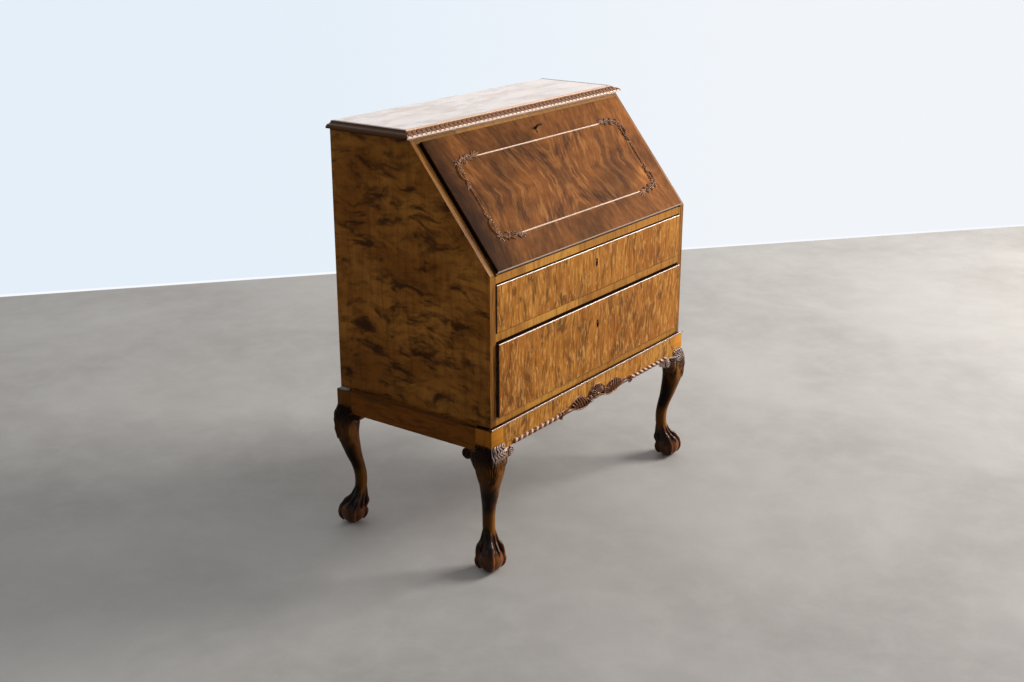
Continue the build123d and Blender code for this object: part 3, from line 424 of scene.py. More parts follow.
def bead_line(name):
    """The bead round the top of the stand: two pale lines of painted highlight with a quirk in front darkened
    as painted shade, a darker top face in painted shade, and the runs beside dark in painted shade, near
    black at the front corner.
    """
    s = Shader(name)
    x, y, z = s.split()
    grain = s.noise((x * 40, y * 40, z * 200), 4, 0.6, 0.3)
    beside = s.ramp(abs(x), 0.456, 0.4572)
    rear = s.ramp(y, -0.2, -0.14)
    # painted highlight: the pale colour of the two lines
    s.color = s.mix(s.ramp(grain, 0.35, 0.65), (0.62, 0.4, 0.28), (0.76, 0.53, 0.4))
    # painted shade: the quirk between them near black
    quirk = 1.0 - s.ramp(abs(z - 0.3795), 0.0004, 0.0009)
    s.over(quirk * 0.85, (0.11, 0.03, 0.012))
    # painted shade: the runs beside are dark, near black at the front corner
    side = s.mix(rear, (0.01, 0.004, 0.002), (0.085, 0.028, 0.006))
    # painted shade: the top face darker
    s.over(s.ramp(s.facing()[2], 0.9, 0.985), (0.14, 0.05, 0.018))
    s.over(beside, side)
    coat = beside * -0.6 + 0.6
    return s.finish(0.25, grain, 0.0001, coat, 0.14, specular=0.1)


def moulding_wood(name):
    """The front moulding: a bright bead below in painted highlight, reddish carved leaves with painted shade
    in the hollows and on faces turned down, a bright thin edge above in painted highlight.
    """
    s = Shader(name)
    x, y, z = s.split()
    crest = s.crest()
    grain = s.noise((x * 150, y * 150, z * 14), 4, 0.6, 0.3)
    s.color = s.mix(s.ramp(grain, 0.35, 0.65), (0.19, 0.068, 0.02), (0.29, 0.11, 0.036))
    s.over(s.ramp(crest, 0.51, 0.56), (0.62, 0.3, 0.13))
    wedge = s.math("FRACT", x * (1000.0 / LEAF_UNIT))
    brim = z - (wedge * -0.006 + 0.006)
    # painted highlight: the bright bead below, cut by the slanted teeth
    low = 1.0 - s.ramp(brim, 1.0472, 1.048)
    s.over(low * 0.92, (0.84, 0.6, 0.46))
    # painted shade: faces turned down near black
    below = s.ramp(s.facing()[2] * -1.0, 0.4, 0.75)
    s.over(below * 0.92, (0.03, 0.012, 0.006))
    # painted highlight: the thin bright edge above
    high = s.ramp(z, 1.0596, 1.0606)
    s.over(high * 0.85, (0.7, 0.36, 0.16))
    # painted shade: hollows dark
    s.over(1.0 - s.ramp(crest, 0.44, 0.492), (0.06, 0.022, 0.009))
    return s.finish(grain * 0.16 + 0.26, grain, 0.00015, 0.12, 0.18, specular=0.12)


def leg_wood(name):
    """Carved walnut of a leg: painted shade where it turns from the light, a darker knee and shank band,
    hollows near black; golden brown edges and a painted highlight on the knee in front.
    """
    s = Shader(name)
    x, y, z = s.split()
    nx = s.facing()[0]
    crest = s.crest()
    grain = s.noise((x * 170, y * 170, z * 10), 4, 0.6, 0.3)
    hatch = s.noise((x * 330, y * 330, z * 34), 3, 0.6, 0.8)
    cloud = s.noise((x * 26, y * 26, z * 11), 4, 0.6, 0.5)
    # faces turned to the light; the rest gets painted shade below
    bright = s.ramp(nx, -0.95, 0.05)
    over = abs(y) - abs(x)
    # the front face of the leg, where the knee is painted lighter and gets its painted highlight
    front = s.ramp(over, -0.211, -0.205) * (y < 0.0)
    shank = s.mix(s.ramp(cloud, 0.38, 0.62), (0.06, 0.019, 0.004), (0.3, 0.108, 0.016))
    shank = s.mix(s.ramp(grain, 0.48, 0.7) * 0.5, shank, (0.034, 0.011, 0.003))
    wobble = cloud * 0.05 + z
    ankle = s.ramp(wobble, 0.118, 0.135) * (1.0 - s.ramp(wobble, 0.165, 0.215))
    shank = s.mix(ankle * 0.6, shank, (0.3, 0.115, 0.018))
    cut = s.ramp(wobble, 0.255, 0.285) * s.ramp(hatch, 0.5, 0.6)
    shank = s.mix(cut * 0.6, shank, (0.03, 0.01, 0.003))
    knee = s.ramp(wobble, 0.3, 0.335)
    deep = s.mix(s.ramp(cloud, 0.35, 0.65), (0.012, 0.004, 0.002), (0.045, 0.014, 0.005))
    # knee darker, less dark on its front face as painted light
    shade = knee * (front * -0.6 + 0.92)
    s.color = s.mix(shade, shank, deep)
    # painted shade: a dark band on the shank, weaker on the lit side
    core = s.ramp(z, 0.135, 0.165) * (1.0 - s.ramp(z, 0.195, 0.25))
    core = core * (bright * -0.75 + 0.95)
    s.over(core, (0.016, 0.006, 0.003))
    # claws near black above and reddish below, the black eased on the side turned to the light as painted
    # light
    claws = 1.0 - s.ramp(wobble, 0.108, 0.122)
    red = s.mix(s.ramp(cloud, 0.35, 0.65), (0.13, 0.036, 0.009), (0.3, 0.095, 0.022))
    paw = s.ramp(z, 0.036, 0.054) * (bright * -0.45 + 1.0)
    s.over(claws, s.mix(paw, red, deep))
    away_x = abs(x) - (HALF_WIDTH + FOOT_AXIS) / 1000
    away_y = abs(y) - (BACK + FOOT_AXIS) / 1000
    away_z = z - 0.03
    square = away_x * away_x + away_y * away_y
    square = away_z * away_z + square
    reach = s.math("SQRT", square)
    ball = (1.0 - s.ramp(reach, 0.0325, 0.0345)) * (1.0 - s.ramp(z, 0.042, 0.05))
    s.over(ball, red)
    # painted shade: faces turned to the left darkened to about a quarter
    s.shade(bright * 0.72 + 0.28)
    # edges lighter with wear and painted light on the lit side, darker on the shaded side
    edge = s.ramp(crest, 0.525, 0.6)
    wear_and_lit_edge = s.mix(bright, (0.05, 0.018, 0.006), (0.25, 0.095, 0.026))
    s.over(edge, wear_and_lit_edge)
    # painted shade: hollows near black
    s.over(1.0 - s.ramp(crest, 0.42, 0.485), (0.006, 0.0025, 0.001))
    # painted highlight: pale pink streaks on the crests of the knee's front face
    shine = s.ramp(crest, 0.5, 0.55) * (front * s.ramp(wobble, 0.312, 0.334))
    s.over(shine * 0.95, (0.78, 0.6, 0.53))
    coat = shine * 0.6 + (claws * 0.3 + 0.03)
    return s.finish(grain * 0.14 + 0.24, grain, 0.00012, coat, 0.12, specular=0.06)


def plain_wood(name, light, dark, along="x", coat=0.05, lap=None):
    """Secondary wood: pale straight-grained boards, not polished; near black in front of lap."""
    s = Shader(name)
    axes = dict(zip("xyz", s.split()))
    order = [axes[along]] + [axes[a] for a in "xyz" if a != along]
    bend = s.noise((order[0] * 2, order[1] * 5, order[2] * 5))
    side = bend * 0.05 + order[1]
    growth = s.noise((order[0] * 2.2, side * 60, order[2] * 60), 4, 0.6, 0.4)
    lines = s.noise((order[0] * 14, side * 600, order[2] * 600), 3, 0.6)
    s.color = s.mix(s.ramp(growth, 0.35, 0.68), light, dark)
    s.shade(lines * 0.35 + 0.82)
    if lap is not None:
        # near black in front of lap
        tip = 1.0 - s.ramp(axes["y"], lap - 0.0008, lap + 0.0008)
        s.over(tip * 0.95, (0.014, 0.006, 0.003))
    return s.finish(lines * 0.15 + 0.5, lines, 0.00015, coat, 0.35)


def metal(name, color, dark, rough=0.3, shine=1.0):
    """Metal with tarnish in patches and fine scratches."""
    s = Shader(name)
    x, y, z = s.split()
    patch = s.noise(s.place, 4, 0.6, scale=90)
    scratch = s.noise((x * 300, y * 2400, z * 900), 3, 0.6)
    s.color = s.mix(s.ramp(patch, 0.42, 0.7), color, dark)
    return s.finish(patch * 0.25 + (rough - 0.08), scratch, 0.00004, 0.0, 0.2, shine)


GOLDEN_POST = ((0.56, 0.205, 0.020), (0.66, 0.26, 0.030))
REDDISH_SIDE = ((0.52, 0.165, 0.026), (0.62, 0.215, 0.036))
FRIEZE = ((0.450, 0.170, 0.024), (0.620, 0.275, 0.046))
# heights in metres of the painted shadow lines on the rails
RAIL_GAP_SHADOWS = ((0.5865, 0.5920), (0.7285, 0.7325), (0.7515, 0.7560))
OAK_COLORS = ((0.36, 0.215, 0.095), (0.235, 0.125, 0.048))
CARVED_WOOD = carved("carved_walnut_wood")
ROPE_WOOD = rope_wood("rope_wood")
# the pale pink crest colours of these carvings, and the pale ground of the fall's bead rows, are painted
# highlight
BEAD_WOOD = carved("fall_carving_wood", 1.0, (0.92, 0.70, 0.56), 0.10, 0.06,
                   ((0.170, 0.056, 0.014), (0.330, 0.120, 0.032)), (0.520, 0.590), True)
APRON_WOOD = carved("apron_carving_wood", 1.0, (0.80, 0.54, 0.42), 0.25, 0.10,
                    ((0.110, 0.032, 0.009), (0.230, 0.078, 0.022)), (0.520, 0.590), True)
BEAD_ROW_WOOD = carved("fall_bead_wood", 1.0, (0.90, 0.70, 0.55), 0.35, 0.15,
                       ((0.78, 0.52, 0.37), (0.88, 0.64, 0.48)))
MOULDING_WOOD = moulding_wood("top_moulding_wood")
LEG_WOOD = leg_wood("leg_wood")
# ends 0.95: painted shade on the posts' tops and left faces
POST_WOOD = banded("post_wood", "y", "z", 5.0, 0.95, 1.0, 0.95, GOLDEN_POST)
BRASS = metal("brass_metal", (0.62, 0.40, 0.12), (0.23, 0.125, 0.035), 0.32)
STEEL = metal("dark_iron_metal", (0.022, 0.018, 0.016), (0.010, 0.008, 0.007), 0.45, 0.4)

# Each material and the patterns of the nodes of the part that it covers
FINISHES = (
    (veneer_side("side_veneer_wood"), "left_side"),
    (veneer_side("side_veneer_wood_right", 4.3, 0.68), "right_side"),
    (veneer_top("top_veneer_wood"), "top_board"),
    (veneer_drawer("upper_drawer_veneer_wood"), "upper_drawer_front *_small_drawer_front"),
    (veneer_drawer("lower_drawer_veneer_wood", 2.6), "lower_drawer_front"),
    # 0.330: painted shadow on the frieze below this height, behind the apron
    (veneer_drawer("stand_frieze_wood", 5.1, FRIEZE, 0.330), "stand_front_rail stand_back_rail"),
    (veneer_fall("fall_veneer_wood"), "fall_panel"),
    (banded("rail_banding_wood", "x", "z", gap_shadows=RAIL_GAP_SHADOWS), "bottom_rail middle_rail fall_rail"),
    (banded("top_rail_banding_wood", "x", "y", 0.31, 0.62), "top_rail"),
    # light 0.17: the side rails darkened as painted shade
    (banded("stand_side_wood", "z", "y", 3.0, 0.17, 1.5, 0.0, REDDISH_SIDE), "stand_side_rails"),
    (bead_line("stand_bead_wood"), "stand_bead"),
    # dark 0.30: the side mouldings darkened as painted shade
    (carved("side_moulding_wood", 0.30, coat=0.04, specular=0.08), "top_side_mouldings"),
    (CARVED_WOOD, "*_leg knee_brackets rope_moulding apron_carving top_front_moulding fall_bead "
     "fall_corner_carvings"),
    (plain_wood("oak_boards_wood", *OAK_COLORS),
     "bottom_board dust_board drawer_stops back_panel *_drawer_back *_drawer_bottom *_tray"),
    (plain_wood("oak_boards_deep_wood", *OAK_COLORS, "y", lap=-0.2362),
     "drawer_runners *_drawer_sides"),
    (plain_wood("oak_boards_tall_wood", *OAK_COLORS, "z"), "gallery_uprights corner_blocks"),
    (plain_wood("writing_bed_wood", (0.33, 0.155, 0.052), (0.19, 0.078, 0.026), "x", 0.25),
     "writing_bed gallery_shelves"),
    (metal("aged_brass_metal", (0.15, 0.085, 0.030), (0.06, 0.032, 0.012), 0.5), "*_hinge_leaves"),
    (BRASS, "stay_* fall_lock_* *_drawer_lock *_arm *_knob"),
    (STEEL, "stand_screws key"),
)
for material, patterns in FINISHES:
    for name in NODES:
        if any(fnmatch(name, pattern) for pattern in patterns.split()):
            NODES[name].data.materials.clear()
            NODES[name].data.materials.append(material)


# Stage, light and camera

PICTURE = (1024, 682)
WALL_FOOT_ROWS = (297, 226)          # where the wall meets the floor at the picture's left and right
WALL_LEFT, WALL_RIGHT = (0.783, 0.863, 0.947), (0.880, 0.913, 0.956)
SKIRTING = 0.035

camera_place = Vector((-2.77862, -1.99796, 1.60752))
camera = bpy.data.objects.new("camera", bpy.data.cameras.new("camera"))
camera.location = camera_place
camera.rotation_euler = (math.radians(90 - 19.023), 0.0, math.radians(-53.945))
camera.data.lens = 47.07
camera.data.sensor_width = 36.0
camera.data.clip_end = 60.0
bpy.context.scene.collection.objects.link(camera)
bpy.context.scene.camera = camera
bpy.context.view_layer.update()
camera_turn = camera.matrix_world.to_quaternion()


def floor_point(column, row):
    """Where the ray through a place in the picture meets the floor."""
    focal = camera.data.lens / camera.data.sensor_width * PICTURE[0]
    ray = camera_turn @ Vector(((column - PICTURE[0] / 2) / focal, (PICTURE[1] / 2 - row) / focal, -1.0))
    return camera_place + ray * (-camera_place.z / ray.z)


left_end, right_end = (floor_point(*at) for at in zip((0, PICTURE[0]), WALL_FOOT_ROWS))
wall_run = (right_end - left_end).normalized()
WALL_NORMAL = (-wall_run.y, wall_run.x)
WALL_REACH = left_end.x * WALL_NORMAL[0] + left_end.y * WALL_NORMAL[1]
SIDEWAYS = camera_turn @ Vector((1.0, 0.0, 0.0))


def wall_paint(s, ray):
    """The pale wall, whiter towards the right, for a direction seen from the camera."""
    turn = s.vector("DOT_PRODUCT", ray, SIDEWAYS)["Value"]
    return s.mix(s.ramp(turn, -0.22, 0.24), WALL_LEFT, WALL_RIGHT)


def concrete():
    """The floor, whose far part shows the wall that stands on it."""
    s = Shader("floor_concrete")
    x, y = s.split()[:2]
    broad = s.noise(s.place, 5, 0.6, 0.4, 1.3)
    fine = s.noise(s.place, 6, 0.65, 0.3, 9)
    speck = s.noise(s.place, 3, 0.6, 0.0, 160)
    s.color = s.mix(s.ramp(broad, 0.30, 0.72), (0.375, 0.352, 0.330), (0.465, 0.442, 0.416))
    s.over(s.ramp(fine, 0.35, 0.75) * 0.35, (0.53, 0.505, 0.475))
    s.shade(speck * 0.10 + 0.95)
    ground = s.node("ShaderNodeBsdfPrincipled", {
        "Base Color": s.color, "Roughness": fine * 0.2 + 0.68, "Specular IOR Level": 0.2})
    far = x * WALL_NORMAL[0] + y * WALL_NORMAL[1]
    ray = s.vector("NORMALIZE", s.vector("SUBTRACT", s.place, camera_place)[0])[0]
    paint = s.mix(far < WALL_REACH + SKIRTING, wall_paint(s, ray), (0.94, 0.96, 1.0))
    paper = s.node("ShaderNodeEmission", {"Color": paint})
    pale = s.node("ShaderNodeBsdfDiffuse", {"Color": (0.7, 0.74, 0.78)})
    seen = s.node("ShaderNodeLightPath").outputs
    shown = s.math("MAXIMUM", s.math("MAXIMUM", seen["Is Camera Ray"], seen["Is Glossy Ray"]),
                   seen["Is Transmission Ray"])
    s.surface(s.blend(far > WALL_REACH, ground, s.blend(shown, pale, paper)))
    return s.material


floor_data = bpy.data.meshes.new("floor")
floor_data.from_pydata([(-14, -14, 0), (14, -14, 0), (14, 14, 0), (-14, 14, 0)], [], [(0, 1, 2, 3)])
floor = bpy.data.objects.new("floor", floor_data)
bpy.context.scene.collection.objects.link(floor)
floor_data.materials.append(concrete())


def area_light(name, place, target, width, height, power, color):
    light = bpy.data.lights.new(name, "AREA")
    light.shape = "RECTANGLE"
    light.size, light.size_y = width, height
    light.energy = power
    light.color = color
    lamp = bpy.data.objects.new(name, light)
    lamp.location = place
    lamp.rotation_euler = (Vector(target) - Vector(place)).to_track_quat("-Z", "Y").to_euler()
    lamp.visible_camera = False
    bpy.context.scene.collection.objects.link(lamp)


def studio():
    """A room that is bright behind the desk and on its right, and dim on the left and near the camera."""
    world = bpy.data.worlds.new("studio")
    bpy.context.scene.world = world
    world.use_nodes = True
    s = Shader(tree=world.node_tree)
    direction = s.coordinates("Generated")
    lean = s.vector("DOT_PRODUCT", direction, (0.62, 0.42, 0.66))["Value"]
    ambient = s.node("ShaderNodeBackground", {"Color": (0.93, 0.965, 1.0),
                                              "Strength": s.ramp(lean, -0.75, 0.95, 0.13, 0.62)})
    wall = s.node("ShaderNodeBackground", {"Color": wall_paint(s, direction), "Strength": 1.0})
    seen = s.node("ShaderNodeLightPath").outputs["Is Camera Ray"]
    s.surface(s.blend(seen, ambient, wall), "ShaderNodeOutputWorld")


area_light("front_soft", (4.1, -2.9, 2.9), (0.0, 0.0, 0.5), 2.4, 2.0, 330.0, (1.0, 0.975, 0.94))
area_light("rear_window", (4.0, 3.3, 2.1), (0.0, 0.0, 0.9), 5.6, 3.2, 48.0, (0.99, 0.99, 1.0))
studio()
bpy.context.scene.view_settings.view_transform = "Standard"


# Mesh helpers

def curve_through(knots, values, query):
    """Smooth curve through (knot, value) pairs, any spacing."""
    knots, values = np.asarray(knots, float), np.asarray(values, float)
    query = np.clip(query, knots[0], knots[-1])
    rise = np.gradient(values, knots, axis=0)
    i = np.clip(np.searchsorted(knots, query) - 1, 0, len(knots) - 2)
    step = knots[i + 1] - knots[i]
    t = (query - knots[i]) / step
    if values.ndim > 1:
        t, step = t[:, None], step[:, None]
    a, b, m, n = values[i], values[i + 1], rise[i] * step, rise[i + 1] * step
    return ((2 * t**3 - 3 * t**2 + 1) * a + (t**3 - 2 * t**2 + t) * m
            + (-2 * t**3 + 3 * t**2) * b + (t**3 - t**2) * n)


def path_through(points, count=40):
    """Evenly numbered points on a smooth path through a few points."""
    points = np.asarray(points, float)
    steps = np.r_[0, np.cumsum(np.linalg.norm(np.diff(points, axis=0), axis=1))]
    return curve_through(steps, points, np.linspace(0, steps[-1], count))


def spiral(centre, start, radius, turns, end_radius=0.0, steps=40):
    """Points of a spiral in the plane, angles in turns, radius shrinking to end_radius."""
    t = np.linspace(0, 1, steps)
    angle = 2 * math.pi * (start + turns * t)
    size = radius + (end_radius - radius) * t
    return np.stack([centre[0] + size * np.cos(angle), centre[1] + size * np.sin(angle)], -1)


def make_piece(name, points, faces, materials, node, body="root", slot="carved_walnut",
               indices=None, sharp=50):
    """A shown piece from points in millimetres, in the place of a node of the part."""
    data = bpy.data.meshes.new(name)
    data.from_pydata((np.asarray(points) / 1000).tolist(), [], [list(f) for f in faces])
    data.update()
    for material in materials:
        data.materials.append(material)
    if indices is not None:
        data.polygons.foreach_set("material_index", np.asarray(indices, np.int32))
    data.shade_smooth()
    data.set_sharp_from_angle(angle=math.radians(sharp))
    piece = bpy.data.objects.new(name, data)
    bpy.context.scene.collection.objects.link(piece)
    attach(piece, body)
    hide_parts(node)


def grid_faces(rows, columns, wrap_rows=False, wrap_columns=False):
    """Quads of a grid of points numbered row by row."""
    r = np.arange(rows if wrap_rows else rows - 1)
    c = np.arange(columns if wrap_columns else columns - 1)
    r, c = np.meshgrid(r, c, indexing="ij")
    r2, c2 = (r + 1) % rows, (c + 1) % columns
    return np.stack([r * columns + c, r * columns + c2, r2 * columns + c2, r2 * columns + c],
                    -1).reshape(-1, 4)


def loft(rings, closed_ends=True):
    """Points and faces of a skin over equal rings of points, closed round each ring."""
    rings = np.asarray(rings, float)
    count, sides = rings.shape[:2]
    faces = [list(f) for f in grid_faces(count, sides, wrap_columns=True)]
    points = rings.reshape(-1, 3)
    if closed_ends:
        faces.append(list(range(sides))[::-1])
        faces.append([(count - 1) * sides + k for k in range(sides)])
    return points, faces


def tube(path, radii, sides=18):
    """Skin of a round bar of changing radius along a path in space."""
    path = np.asarray(path, float)
    ahead = np.gradient(path, axis=0)
    ahead /= np.linalg.norm(ahead, axis=1)[:, None]
    normal = np.cross(ahead[0], (0.31, 0.52, 0.79))
    normal /= np.linalg.norm(normal)
    rings = []
    turn = np.linspace(0, 2 * math.pi, sides, endpoint=False)
    for point, along, radius in zip(path, ahead, np.broadcast_to(radii, len(path))):
        normal = normal - along * normal.dot(along)
        normal /= np.linalg.norm(normal)
        other = np.cross(along, normal)
        rings.append(point + radius * (np.cos(turn)[:, None] * normal + np.sin(turn)[:, None] * other))
    return loft(rings)


def lathe(profile, sides=40):
    """Skin turned about the third axis from (radius, height) pairs."""
    turn = np.linspace(0, 2 * math.pi, sides, endpoint=False)
    rings = [np.stack([r * np.cos(turn), r * np.sin(turn), np.full(sides, h)], -1) for r, h in profile]
    return loft(rings)


def joined(parts):
    """Several (points, faces) as one."""
    points, faces, start = [], [], 0
    for p, f in parts:
        points.append(np.asarray(p, float))
        faces += [[i + start for i in face] for face in f]
        start += len(p)
    return np.concatenate(points), faces


def box_skin(low, high, bevel=0.6):
    """A box with a narrow flat on each arris: 24 points, three to a corner."""
    low, high = np.asarray(low, float), np.asarray(high, float)
    corners = list(product((-1, 1), repeat=3))
    number = {(*corner, axis): 3 * i + axis for i, corner in enumerate(corners) for axis in range(3)}
    points = [(low + high) / 2 + ((high - low) / 2 - bevel + bevel * flat) * corner
              for corner in corners for flat in np.eye(3)]
    signs = ((-1, -1), (1, -1), (1, 1), (-1, 1))
    sides, flats = [], []
    for axis in range(3):
        first, second = [k for k in range(3) if k != axis]

        def at(side, a, b, kind):
            key = [0, 0, 0]
            key[axis], key[first], key[second] = side, a, b
            return number[(*key, kind)]

        for side in (-1, 1):
            face = [at(side, a, b, axis) for a, b in signs]
            sides.append(face if (side == 1) != (axis == 1) else face[::-1])
        flats += [[at(-1, a, b, first), at(-1, a, b, second), at(1, a, b, second), at(1, a, b, first)]
                  for a, b in signs]
    tips = [[number[(*corner, axis)] for axis in range(3)] for corner in corners]
    return np.array(points), sides + flats + tips


def outward(points, faces):
    """The same faces, turned to face outwards."""
    data = bpy.data.meshes.new("turning")
    data.from_pydata(np.asarray(points).tolist(), [], [list(f) for f in faces])
    work = bmesh.new()
    work.from_mesh(data)
    bmesh.ops.recalc_face_normals(work, faces=work.faces)
    work.to_mesh(data)
    work.free()
    turned = [list(p.vertices) for p in data.polygons]
    bpy.data.meshes.remove(data)
    return np.asarray(points), turned


def fused(parts, voxel):
    """One closed skin round overlapping closed skins: (points in mm, quads)."""
    points, faces = outward(*joined(parts))
    data = bpy.data.meshes.new("fusing")
    data.from_pydata((points / 1000).tolist(), [], faces)
    work = bpy.data.objects.new("fusing", data)
    bpy.context.scene.collection.objects.link(work)
    remesh = work.modifiers.new("fuse", "REMESH")
    remesh.mode = "VOXEL"
    remesh.voxel_size = voxel / 1000
    ease = work.modifiers.new("ease", "SMOOTH")
    ease.factor, ease.iterations = 0.5, 1
    made = bpy.data.meshes.new_from_object(work.evaluated_get(bpy.context.evaluated_depsgraph_get()))
    count = len(made.vertices)
    coords = np.empty(count * 3)
    made.vertices.foreach_get("co", coords)
    normals = np.empty(count * 3)
    made.vertex_normals.foreach_get("vector", normals)
    polygons = [list(p.vertices) for p in made.polygons]
    bpy.data.objects.remove(work)
    bpy.data.meshes.remove(data)
    bpy.data.meshes.remove(made)
    return coords.reshape(-1, 3) * 1000, polygons, normals.reshape(-1, 3)


class Relief:
    """A carved face as heights over a plane, made of strokes."""

    def __init__(self, low, high, pitch):
        self.a = np.arange(low[0], high[0] + pitch / 2, pitch)
        self.b = np.arange(low[1], high[1] + pitch / 2, pitch)
        self.A, self.B = np.meshgrid(self.a, self.b, indexing="ij")
        self.H = np.full(self.A.shape, -1.0)
        self.pitch = pitch

    def near(self, path, reach):
        """For the grid points near a path: (window, distance, share along)."""
        path = np.asarray(path, float)
        low, high = path.min(0) - reach, path.max(0) + reach
        i = slice(*np.searchsorted(self.a, (low[0], high[0])))
        j = slice(*np.searchsorted(self.b, (low[1], high[1])))
        A, B = self.A[i, j], self.B[i, j]
        if A.size == 0:
            return None
        start, end = path[:-1], path[1:]
        run = end - start
        size = (run**2).sum(1)
        size[size == 0] = 1e-9
        lengths = np.sqrt(size)
        before = np.r_[0, np.cumsum(lengths)]
        pa = A[..., None] - start[:, 0]
        pb = B[..., None] - start[:, 1]
        t = np.clip((pa * run[:, 0] + pb * run[:, 1]) / size, 0, 1)
        da, db = pa - t * run[:, 0], pb - t * run[:, 1]
        distance = np.hypot(da, db)
        pick = distance.argmin(-1)[..., None]
        take = lambda values: np.take_along_axis(values, pick, -1)[..., 0]
        share = (before[pick[..., 0]] + take(t) * lengths[pick[..., 0]]) / before[-1]
        return (i, j), take(distance), share

    def stroke(self, path, radius, height, base=0.0, vein=0.0, ribs=0.0, rib_count=6.0):
        """A carved limb along a path: radius and height as numbers or tables of shares."""
        radius, height = np.atleast_1d(radius), np.atleast_1d(height)
        found = self.near(path, radius.max() + self.pitch)
        if found is None:
            return
        window, d, t = found
        r = np.interp(t, np.linspace(0, 1, len(radius)), radius)
        h = np.interp(t, np.linspace(0, 1, len(height)), height)
        w = d / np.maximum(r, 1e-6)
        shape = np.sqrt(np.clip(1 - w**2, 0, 1))
        if vein:
            shape = shape * (1 - vein * np.exp(-(w / 0.22) ** 2))
        if ribs:
            phase = t * rib_count - w * 0.8
            shape = shape * (1 - ribs * (0.5 + 0.5 * np.cos(2 * math.pi * phase)) * np.clip(w * 2, 0, 1))
        self.H[window] = np.maximum(self.H[window], np.where(w < 1, base + h * shape, -1.0))

    def edge_distance(self, outline):
        """Signed distance to a closed outline, positive inside, over the whole grid."""
        outline = np.asarray(outline, float)
        loop = np.r_[outline, outline[:1]]
        best = np.full(self.A.shape, 1e9)
        inside = np.zeros(self.A.shape, bool)
        for (x0, y0), (x1, y1) in zip(loop[:-1], loop[1:]):
            rx, ry = x1 - x0, y1 - y0
            t = np.clip(((self.A - x0) * rx + (self.B - y0) * ry) / max(rx * rx + ry * ry, 1e-9), 0, 1)
            best = np.minimum(best, np.hypot(self.A - x0 - t * rx, self.B - y0 - t * ry))
            if y0 != y1:
                crossing = ((y0 > self.B) != (y1 > self.B)) & (self.A < rx * (self.B - y0) / (y1 - y0) + x0)
                inside ^= crossing
        return np.where(inside, best, -best)

    def skin(self, place, base, keep=None, snap=None):
        """Closed (points, faces): the carved face and a flat back at height base."""
        H = self.H
        solid = (H > 0) if keep is None else keep
        rows, columns = H.shape
        windows = [(slice(i, rows - 1 + i), slice(j, columns - 1 + j)) for i, j in product((0, 1), repeat=2)]
        held = sum(solid[window].astype(int) for window in windows)
        cells = held > 0 if keep is None else held == 4
        full = np.zeros(H.shape, int)
        for window in windows:
            full[window] += cells
        used = full > 0
        A, B = self.A.copy(), self.B.copy()
        if snap is not None:
            ga, gb = np.gradient(snap, self.pitch)
            size = np.maximum(np.hypot(ga, gb), 1e-6)
            rimmed = used & (full < 4)
            move = np.clip(snap, -1.2 * self.pitch, 1.2 * self.pitch)
            A[rimmed] -= (move * ga / size**2)[rimmed]
            B[rimmed] -= (move * gb / size**2)[rimmed]
        number = np.full(H.shape, -1)
        number[used] = np.arange(used.sum())
        count = int(used.sum())
        heights = np.where(H > 0, H, -0.25) if keep is None else H
        front = place(A[used], B[used], heights[used])
        rear = place(A[used], B[used], np.full(count, float(base)))
        ci, cj = np.nonzero(cells)
        quad = np.stack([number[ci, cj], number[ci + 1, cj], number[ci + 1, cj + 1], number[ci, cj + 1]], -1)
        edges = np.concatenate([quad[:, [k, (k + 1) % 4]] for k in range(4)])
        inner = np.isin(edges[:, 0] * count + edges[:, 1], edges[:, 1] * count + edges[:, 0])
        p, q = edges[~inner].T
        faces = [quad, quad[:, ::-1] + count, np.stack([q, p, p + count, q + count], -1)]
        return outward(np.concatenate([front, rear]), np.concatenate(faces).tolist())


# Legs with carved knees and ball-and-claw feet

LEG_HEIGHTS = (43.9, 60.1, 76.0, 91.9, 110.0, 137.1, 163.1, 189.8, 214.0, 240.1, 262.0, 284.0, 304.0, 320.0,
               330.0, 334.5, 337.0)
LEG_OFFSETS = (-14.2, -18.5, -24.2, -27.2, -28.9, -28.5, -24.6, -18.5, -14.2, -9.8, -8.2, -8.8, -9.4, -11.4,
               -13.6, -15.4, -18.0)
LEG_SIDES = (53.0, 43.0, 34.0, 31.0, 30.8, 31.7, 34.2, 40.3, 45.8, 51.4, 57.0, 60.2, 60.6, 57.0,
             52.6, 49.6, 43.0)
FOOT = np.array([FOOT_AXIS, FOOT_AXIS, 30.0])
BALL = 32.0
LEG_VOXEL = 1.0


def smooth_step(value, low, high):
    t = np.clip((value - low) / (high - low), 0, 1)
    return t * t * (3 - 2 * t)


def leg_axis(z):
    return curve_through(LEG_HEIGHTS, LEG_OFFSETS, z)


def leg_skin():
    """The leg from ankle to rail as a smooth closed skin, offsets from the carcase corner."""
    heights = np.linspace(LEG_HEIGHTS[0], LEG_HEIGHTS[-1], 150)
    offsets = leg_axis(heights)
    sides = curve_through(LEG_HEIGHTS, LEG_SIDES, heights)
    turn = np.linspace(0, 2 * math.pi, 112, endpoint=False)
    beside = np.abs(np.sin(turn - math.pi / 4)) ** 3
    rings = []
    for z, c, side in zip(heights, offsets, sides):
        power = 2.15 + 0.75 * smooth_step(z, 190, 300)
        power = power + 4.2 * beside * smooth_step(z, 228, 280)
        cos, sin = np.cos(turn), np.sin(turn)
        size = side / 2 / (np.abs(cos) ** power + np.abs(sin) ** power) ** (1 / power)
        rings.append(np.stack([c + size * cos, c + size * sin, np.full(len(turn), z)], -1))
    return loft(rings)


